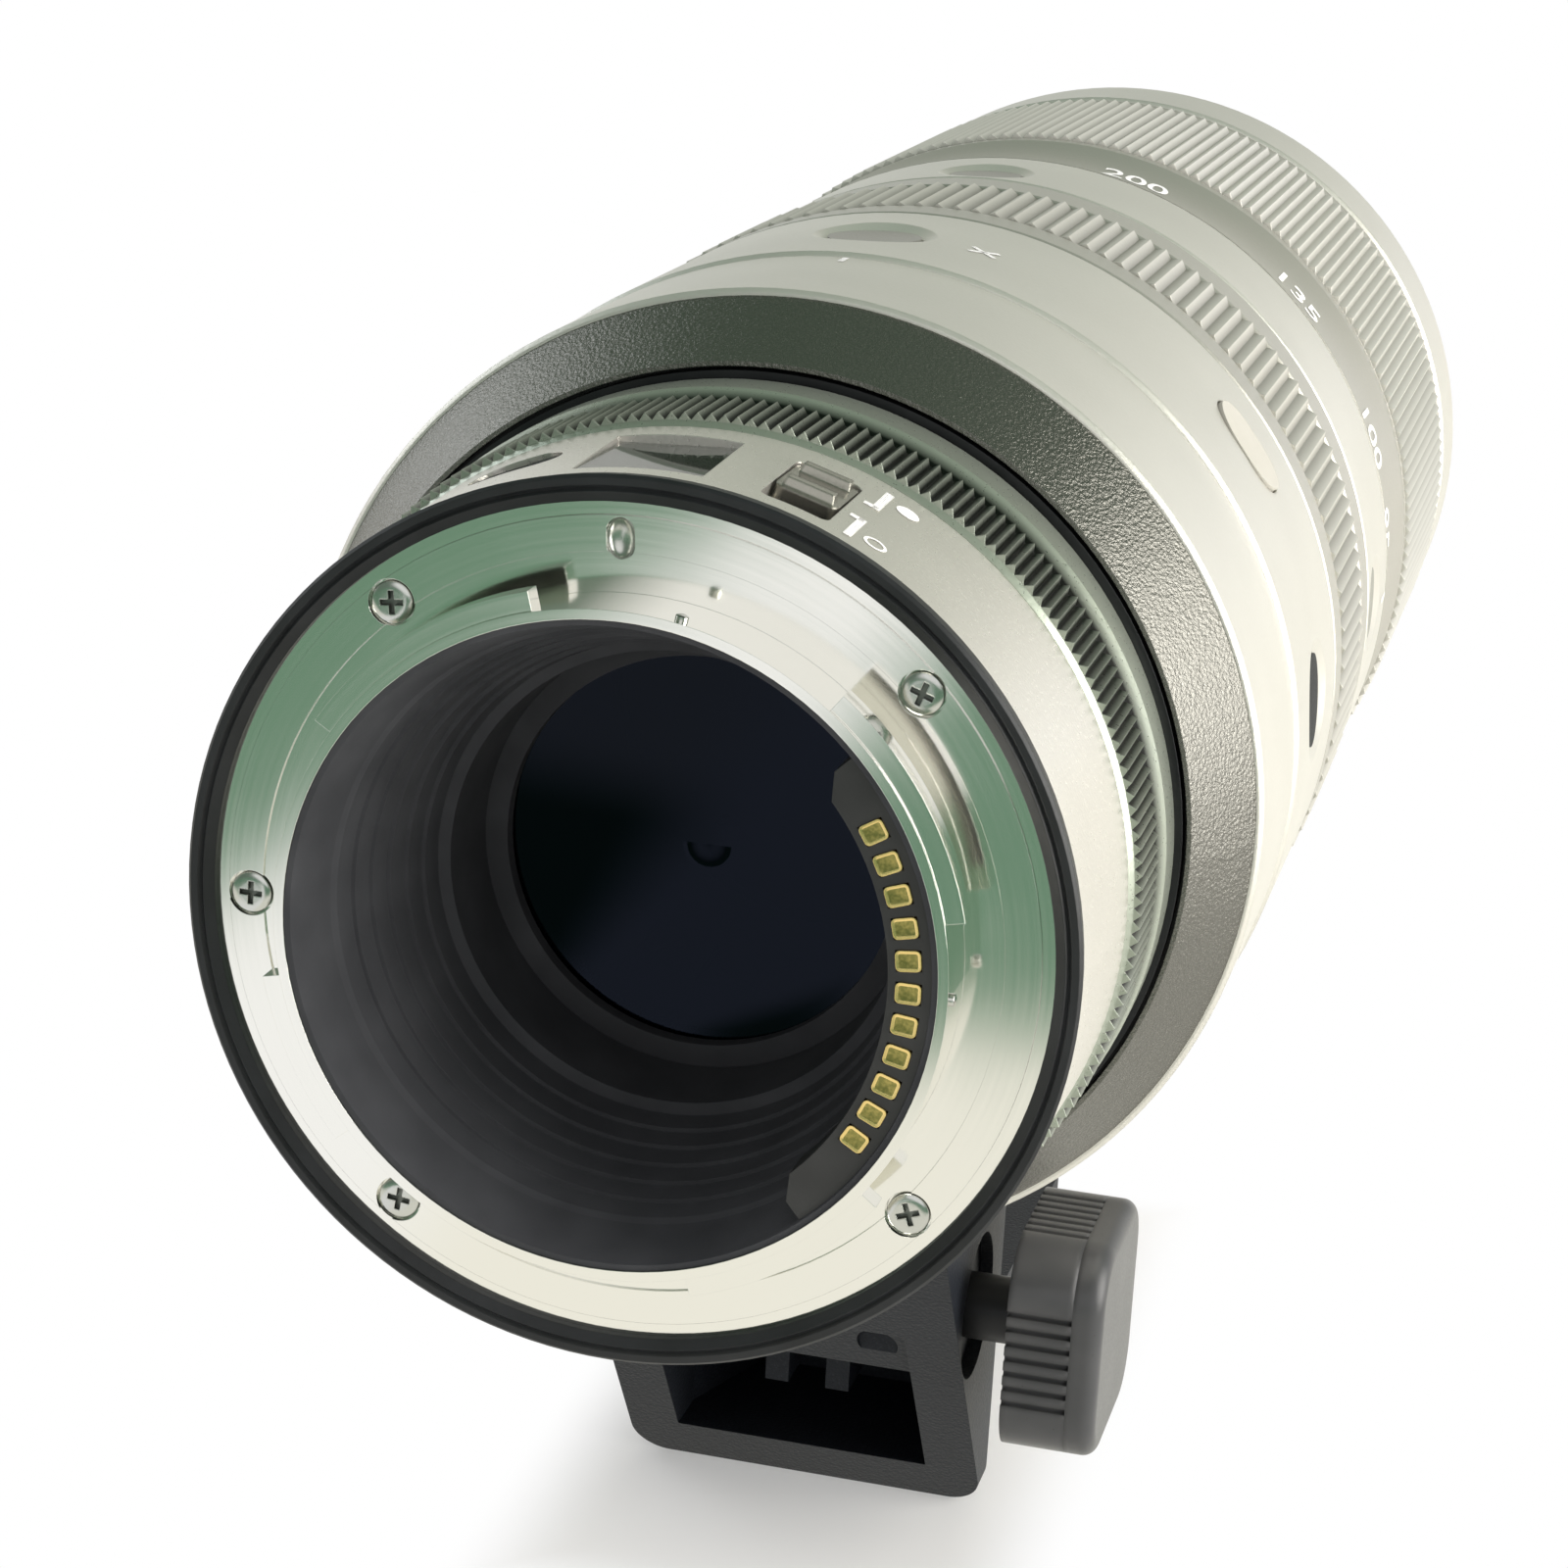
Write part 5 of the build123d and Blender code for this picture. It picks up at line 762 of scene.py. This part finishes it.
bowl = start_piece(
    "lock_recess_bowl", bpy.ops.mesh.primitive_uv_sphere_add, segments=32, ring_count=16, radius=0.5
)
scale_mesh(bowl, BOWL_LENGTH, BOWL_WIDTH, BOWL_HEIGHT)
open_piece(bowl)
bpy.ops.mesh.bisect(plane_co=(0, 0, 0), plane_no=(0, 0, 1), clear_outer=True)
bpy.ops.mesh.select_all(action="SELECT")
bpy.ops.mesh.flip_normals()
close_piece()
run_modifier(bowl, "SOLIDIFY", thickness=BOWL_WALL * MM, offset=-1.0)
seat = Matrix.Translation((SCREW_CIRCLE * MM, BOWL_SETBACK * MM, 0))
bowl.data.transform(round_the_axis(BOWL_ANGLE) @ seat @ facing_back)
hand_over(bowl, bowl_metal, "lens_barrel")

# %% [markdown]
# ## Stop pins
# Two small pins stop the bayonet where it locks. They are pressed into its tube and point
# outwards. Each is a short cylinder whose end is crowned by an inset that rises.

# %% Stop pins
PIN_RADIUS = 0.5
PIN_DEPTH = 0.8
PIN_CROWN_WIDTH = 0.2
PIN_CROWN_RISE = 0.1
PIN_CIRCLE = 26.4
PIN_AXIAL = -4.4
PIN_ANGLES = (80.0, -0.5)

pin = start_piece(
    "bayonet_stop_pins",
    bpy.ops.mesh.primitive_cylinder_add,
    vertices=24,
    radius=PIN_RADIUS * MM,
    depth=PIN_DEPTH * MM,
)
open_top(pin, PIN_DEPTH)
bpy.ops.mesh.inset(thickness=PIN_CROWN_WIDTH * MM, depth=PIN_CROWN_RISE * MM)
close_piece()
seat = Matrix.Translation((PIN_CIRCLE * MM, PIN_AXIAL * MM, 0))
facing_out = Matrix.Rotation(math.radians(90), 4, "Y")
stop_pins = copies(pin, [round_the_axis(angle) @ seat @ facing_out for angle in PIN_ANGLES])
hand_over(stop_pins, screw_metal, "lens_barrel")

# %% [markdown]
# ## Print on a barrel
# Marks are printed on the paint in white ink. A flat piece is bent round the barrel, whose axis
# is Y, and a shrinkwrap then lays it on the real surface, a twentieth of a millimetre proud.

# %% Print on a barrel
PRINT_RISE = 0.05

# Screen-printed ink: flat white, smoother than the paint under it.
white_print = moulded("white_printed_ink", "#f6f6f2", 0.5, depth_mm=0.004)


def wrap_on_barrel(piece, angle, axial_mm, barrel_mm):
    """Its x runs round the barrel, its y along it, its z outwards."""
    for vertex in piece.data.vertices:
        x, y, z = vertex.co
        turn = math.radians(angle) - x / (barrel_mm * MM)
        reach = barrel_mm * MM + z
        vertex.co = (reach * math.cos(turn), axial_mm * MM + y, reach * math.sin(turn))


def print_on(piece, node, body, angle, axial_mm, barrel_mm):
    wrap_on_barrel(piece, angle, axial_mm, barrel_mm)
    run_modifier(
        piece,
        "SHRINKWRAP",
        target=nodes[node],
        wrap_method="NEAREST_SURFACEPOINT",
        wrap_mode="ABOVE_SURFACE",
        offset=PRINT_RISE * MM,
    )
    hand_over(piece, white_print, body)


print("print is", PRINT_RISE, "mm proud")

# %% [markdown]
# ## Focal lengths
# The zoom ring carries plain numbers for its focal lengths on the hollow band behind the ribs.
# The text is made a mesh before it is bent, and cut into triangles so that it can follow the
# hollow. Ink spreads a little, which an offset of the outline gives.

# %% Focal lengths
NUMERALS = {"70": -8.4, "85": 6.4, "100": 21.0, "135": 45.0, "200": 75.0}
NUMERAL_HEIGHT = 5.2
INK_SPREAD = 0.012
BAND_MIDDLE = 150.6
BAND_RADIUS = 42.4


def printed_text(name, words, height_mm):
    bpy.ops.object.select_all(action="DESELECT")
    bpy.ops.object.text_add()
    piece = bpy.context.object
    piece.data.body = words
    piece.data.size = height_mm * MM
    piece.data.align_x = "CENTER"
    piece.data.align_y = "CENTER"
    piece.data.resolution_u = 6
    piece.data.offset = INK_SPREAD * height_mm * MM
    bpy.ops.object.convert(target="MESH")
    piece = bpy.context.object
    piece.name = name
    open_piece(piece)
    bpy.ops.mesh.remove_doubles(threshold=0.004 * MM)
    bpy.ops.mesh.quads_convert_to_tris()
    close_piece()
    return piece


for words, angle in NUMERALS.items():
    numeral = printed_text("focal_length_" + words, words, NUMERAL_HEIGHT)
    print_on(numeral, "zoom_ring", "zoom_ring", angle, BAND_MIDDLE, BAND_RADIUS)

# %% [markdown]
# ## Index lines and cross
# Short printed lines show where a ring is set: one on the shell behind the zoom ring, one on
# the collar. A small cross marks the top button. Each bar is a plane, divided so that it can
# bend, with its corners rounded as ink rounds them.


# %% Index lines and cross
def printed_bar(name, width_mm, length_mm, turn=0.0):
    """A thin rounded bar: its width runs round the barrel and its length along it."""
    piece = start_piece(name, bpy.ops.mesh.primitive_plane_add, size=1.0)
    scale_mesh(piece, width_mm, length_mm, 1.0)
    open_piece(piece)
    bpy.ops.mesh.subdivide(number_cuts=4)
    close_piece()
    open_piece(piece, "EDGE")
    bpy.ops.mesh.select_all(action="SELECT")
    bpy.ops.mesh.bevel(offset=0.12 * min(width_mm, length_mm) * MM, segments=2, affect="VERTICES")
    close_piece()
    piece.data.transform(Matrix.Rotation(math.radians(turn), 4, "Z"))
    return piece


zoom_line = printed_bar("zoom_index_line", 0.7, 3.6)
print_on(zoom_line, "mid_housing", "lens_barrel", angle=0.0, axial_mm=138.0, barrel_mm=43.6)
collar_line = printed_bar("collar_index_line", 0.6, 2.4)
print_on(collar_line, "collar_ring", "tripod_collar", angle=90.5, axial_mm=61.0, barrel_mm=43.3)
for name, turn in (("cross_mark_a", 45), ("cross_mark_b", -45)):
    bar = printed_bar(name, 0.6, 3.6, turn)
    print_on(bar, "button_housing", "lens_barrel", angle=78.0, axial_mm=77.0, barrel_mm=43.6)

# %% [markdown]
# ## Switch marks
# Two brackets stand beside the switch, one for each of its places. Each ends in a dot, full in
# front and open behind, so that the two are told apart at a glance. The open dot is the rim that
# an inset leaves when its middle is deleted.

# %% Switch marks
BRACKET_ANGLE = 65.2
BRACKET_FOOT_ANGLE = 65.9
BRACKET_OFFSET = 2.15
DOT_ANGLE = 61.9
DOT_OFFSET = 3.0
DOT_RADIUS = 1.0
DOT_RIM = 0.28
HOUSING_RADIUS = 35.3

for name, axial, sign in (("front", 12.0, 1), ("rear", 7.8, -1)):
    bracket = printed_bar("switch_bracket_" + name, 0.7, 5.0)
    bracket.data.transform(Matrix.Translation((0, sign * BRACKET_OFFSET * MM, 0)))
    foot = printed_bar("switch_bracket_foot_" + name, 1.2, 0.7)
    print_on(bracket, "rear_housing", "lens_barrel", BRACKET_ANGLE, axial, HOUSING_RADIUS)
    print_on(foot, "rear_housing", "lens_barrel", BRACKET_FOOT_ANGLE, axial, HOUSING_RADIUS)
    dot = start_piece(
        "switch_dot_" + name,
        bpy.ops.mesh.primitive_circle_add,
        vertices=24,
        radius=DOT_RADIUS * MM,
        fill_type="TRIFAN",
    )
    if sign < 0:
        open_piece(dot)
        bpy.ops.mesh.inset(thickness=DOT_RIM * MM, depth=0)
        bpy.ops.mesh.delete(type="FACE")
        close_piece()
    dot_axial = axial + sign * DOT_OFFSET
    print_on(dot, "rear_housing", "lens_barrel", DOT_ANGLE, dot_axial, HOUSING_RADIUS)

# %% [markdown]
# ## Filter thread
# The front ring has a fine thread, 0.75 mm from crest to crest, for filters. A triangle turned
# round the axis by a screw modifier gives its crests.

# %% Filter thread
THREAD_PITCH = 0.75
THREAD_START = 213.4
THREAD_TURNS = 7
THREAD_RADIUS = 38.15
CREST_RADIUS = 0.36
STEPS_PER_TURN = 96

crest = start_piece(
    "filter_thread",
    bpy.ops.mesh.primitive_circle_add,
    vertices=3,
    radius=CREST_RADIUS * MM,
    fill_type="NOTHING",
    rotation=(0, 0, math.radians(90)),
    location=(THREAD_RADIUS * MM, THREAD_START * MM, 0),
)
run_modifier(
    crest,
    "SCREW",
    axis="Y",
    angle=math.tau,
    screw_offset=THREAD_PITCH * MM,
    iterations=THREAD_TURNS,
    steps=STEPS_PER_TURN,
    render_steps=STEPS_PER_TURN,
)
open_piece(crest)
bpy.ops.mesh.remove_doubles(threshold=0.002 * MM)
bpy.ops.mesh.fill_holes(sides=3)
bpy.ops.mesh.select_all(action="SELECT")
bpy.ops.mesh.normals_make_consistent(inside=False)
close_piece()
hand_over(crest, anodised, "lens_barrel")

# %% [markdown]
# ## The white sweep
# The lens stands on white paper. The camera sees the paper as pure white, and only close to the
# foot does it keep its own shading, so that a soft shadow grounds the lens. How far a spot is
# from the foot's sides sets how much of each is seen.

# %% White floor
FLOOR_SIZE = 12.0
FLOOR_GAP = 0.05
SHADOW_START = -2
SHADOW_END = 11
WHITE_AT_FOOT = 0.3
foot_low, foot_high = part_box("tripod_foot")
foot_middle = (foot_low + foot_high) / 2
foot_half = (foot_high - foot_low) / 2
floor_height = foot_low.z - FLOOR_GAP * MM

floor = start_piece(
    "floor",
    bpy.ops.mesh.primitive_grid_add,
    x_subdivisions=8,
    y_subdivisions=8,
    size=FLOOR_SIZE,
    location=(0, 0, floor_height),
)
# Matt white paper: no shine of its own, so it takes only a soft shadow.
floor_paper, tree, shader, place = start_material("white_paper_sweep", "#f7f6f2", 0.9)
beside = {0: place, 1: foot_middle}
beside = add(tree, "ShaderNodeVectorMath", beside, operation="SUBTRACT").outputs[0]
beside = add(tree, "ShaderNodeVectorMath", {0: beside}, operation="ABSOLUTE").outputs[0]
beside = {0: beside, 1: foot_half}
beside = add(tree, "ShaderNodeVectorMath", beside, operation="SUBTRACT").outputs[0]
beside = add(tree, "ShaderNodeSeparateXYZ", {0: beside}).outputs
away = add(tree, "ShaderNodeMath", {0: beside["X"], 1: beside["Y"]}, operation="MAXIMUM").outputs[0]
fade = {
    "Value": away,
    "From Min": SHADOW_START * MM,
    "From Max": SHADOW_END * MM,
    "To Min": WHITE_AT_FOOT,
}
fade = add(tree, "ShaderNodeMapRange", fade, interpolation_type="SMOOTHSTEP").outputs["Result"]
ray = add(tree, "ShaderNodeLightPath").outputs
seen = {0: ray["Is Camera Ray"], 1: ray["Is Transmission Ray"]}
seen = add(tree, "ShaderNodeMath", seen, operation="MAXIMUM").outputs[0]
share = add(tree, "ShaderNodeMath", {0: fade, 1: seen}, operation="MULTIPLY").outputs[0]
white = add(tree, "ShaderNodeEmission", {"Color": linear("#ffffff"), "Strength": 1.0}).outputs[0]
paper = add(tree, "ShaderNodeMixShader", {0: share, 1: shader.outputs[0], 2: white}).outputs[0]
dress(floor, floor_paper)
print("floor at", round(floor_height / MM, 1), "mm")

# %% [markdown]
# ## What the metal mirrors
# What polished metal looks like is what it mirrors. Here that is a white table that ends behind
# the camera, a grey-green room beyond it, and a bright window pane along one side. The floor shows
# these to mirrored rays only, so the picture's own background stays white.

# %% The floor in reflections
TABLE_EDGE = -185
ROOM_START = -225
PANE_MIDDLE = -92
PANE_OUTSIDE = 42
PANE_INSIDE = 22
ROOM_HEX = "#6c8d76"
TABLE_HEX = "#f8f6ec"

where = add(tree, "ShaderNodeSeparateXYZ", {0: place}).outputs
beyond = {"Value": where["Y"], "From Min": TABLE_EDGE * MM, "From Max": ROOM_START * MM}
beyond = add(tree, "ShaderNodeMapRange", beyond, interpolation_type="SMOOTHSTEP").outputs["Result"]
across = {0: where["X"], 1: PANE_MIDDLE * MM}
across = add(tree, "ShaderNodeMath", across, operation="SUBTRACT").outputs[0]
across = add(tree, "ShaderNodeMath", {0: across}, operation="ABSOLUTE").outputs[0]
under_pane = {"Value": across, "From Min": PANE_OUTSIDE * MM, "From Max": PANE_INSIDE * MM}
under_pane = add(tree, "ShaderNodeMapRange", under_pane, interpolation_type="SMOOTHSTEP").outputs["Result"]
mirrored = {0: beyond, 6: linear(TABLE_HEX), 7: linear(ROOM_HEX)}
mirrored = add(tree, "ShaderNodeMix", mirrored, data_type="RGBA").outputs[2]
mirrored = {0: under_pane, 6: mirrored, 7: linear("#ffffff")}
mirrored = add(tree, "ShaderNodeMix", mirrored, data_type="RGBA").outputs[2]
reflection = add(tree, "ShaderNodeEmission", {"Color": mirrored, "Strength": 1.0}).outputs[0]
shown = {0: ray["Is Glossy Ray"], 1: paper, 2: reflection}
shown = add(tree, "ShaderNodeMixShader", shown).outputs[0]
tree.links.new(shown, tree.nodes["Material Output"].inputs["Surface"])
print("the table ends", -TABLE_EDGE, "mm behind the mount")

# %% [markdown]
# ## Lamps
# A large window stands at the right, a soft box hangs above, and a small one fills the left. The
# box above is hidden from reflections, because it would burn a white band into the paint.


# %% Lamps
def soft_lamp(name, place, aim, size, watts, hex_code="#ffffff"):
    data = bpy.data.lights.new(name, "AREA")
    data.shape = "SQUARE"
    data.size = size
    data.energy = watts
    data.color = linear(hex_code)[:3]
    lamp = bpy.data.objects.new(name, data)
    bpy.context.scene.collection.objects.link(lamp)
    turn = (Vector(aim) - Vector(place)).to_track_quat("-Z", "Y").to_matrix().to_4x4()
    lamp.matrix_world = Matrix.Translation(Vector(place)) @ turn
    return lamp


soft_lamp("window_right", (0.62, -0.02, 0.16), (0, 0.1, 0), size=0.5, watts=5.7, hex_code="#fffcf7")
box_above = soft_lamp("softbox_above", (0.15, 0.0, 0.8), (0, 0.08, 0), size=0.5, watts=1.8)
box_above.visible_glossy = False
soft_lamp("fill_left", (-0.65, 0.25, 0.35), (0, 0.05, 0), size=0.4, watts=1.1, hex_code="#f4f7ff")
print(len(bpy.data.lights), "lamps")

# %% [markdown]
# ## The room round the table
# Mirrored rays that miss the floor see the room above it: white at the horizon, a grey-green
# ceiling, a wall behind the camera, and the window pane again. A colour ramp over the height of
# the direction gives the ceiling, and the angle from the pane's middle gives its soft edge.

# %% Ceiling, wall and window pane
ROOM_STOPS = ((0.0, "#ffffff"), (0.2, "#dcddd5"), (0.42, "#949a8a"), (0.72, "#5f7d64"))
WALL_HEX = "#6f7f72"
WALL_START = -0.25
WALL_END = -0.6
TOWARDS_PANE = Vector((0.14, -0.93, 0.33)).normalized()
PANE_EDGE = math.cos(math.radians(30))
PANE_FULL = math.cos(math.radians(20))

world = bpy.data.worlds.new("studio")
bpy.context.scene.world = world
world.use_nodes = True
tree = world.node_tree
direction = add(tree, "ShaderNodeTexCoord").outputs["Generated"]
where = add(tree, "ShaderNodeSeparateXYZ", {0: direction}).outputs
ceiling = add(tree, "ShaderNodeValToRGB", {"Fac": where["Z"]})
stops = ceiling.color_ramp.elements
while len(stops) < len(ROOM_STOPS):
    stops.new(0.5)
for stop, (position, hex_code) in zip(stops, ROOM_STOPS):
    stop.position = position
    stop.color = linear(hex_code)
wall = {"Value": where["Y"], "From Min": WALL_START, "From Max": WALL_END}
wall = add(tree, "ShaderNodeMapRange", wall).outputs["Result"]
room = {0: wall, 6: ceiling.outputs["Color"], 7: linear(WALL_HEX)}
room = add(tree, "ShaderNodeMix", room, data_type="RGBA").outputs[2]
pane = {0: direction, 1: TOWARDS_PANE}
pane = add(tree, "ShaderNodeVectorMath", pane, operation="DOT_PRODUCT").outputs["Value"]
pane = {"Value": pane, "From Min": PANE_EDGE, "From Max": PANE_FULL}
pane = add(tree, "ShaderNodeMapRange", pane).outputs["Result"]
room = {0: pane, 6: room, 7: linear("#ffffff")}
room = add(tree, "ShaderNodeMix", room, data_type="RGBA").outputs[2]
print("the ceiling has", len(stops), "tones")

# %% [markdown]
# ## Sky
# To the camera the sky is white, as the floor is, and mirrored rays see the room. On dull
# surfaces the sky lights less than it shows, so that the lamps can shape them.

# %% Sky
SKY_ON_DULL = 0.48

ray = add(tree, "ShaderNodeLightPath").outputs
colour = {0: ray["Is Glossy Ray"], 6: linear("#ffffff"), 7: room}
colour = add(tree, "ShaderNodeMix", colour, data_type="RGBA").outputs[2]
direct = {0: ray["Is Camera Ray"], 1: ray["Is Transmission Ray"]}
direct = add(tree, "ShaderNodeMath", direct, operation="MAXIMUM").outputs[0]
direct = {0: direct, 1: ray["Is Glossy Ray"]}
direct = add(tree, "ShaderNodeMath", direct, operation="MAXIMUM").outputs[0]
strength = {"Value": direct, "To Min": SKY_ON_DULL, "To Max": 1.0}
strength = add(tree, "ShaderNodeMapRange", strength).outputs["Result"]
sky = tree.nodes["Background"]
tree.links.new(colour, sky.inputs["Color"])
tree.links.new(strength, sky.inputs["Strength"])
bpy.context.scene.view_settings.view_transform = "Standard"
print("sky is white to the eye, and a grey-green room to polished metal")
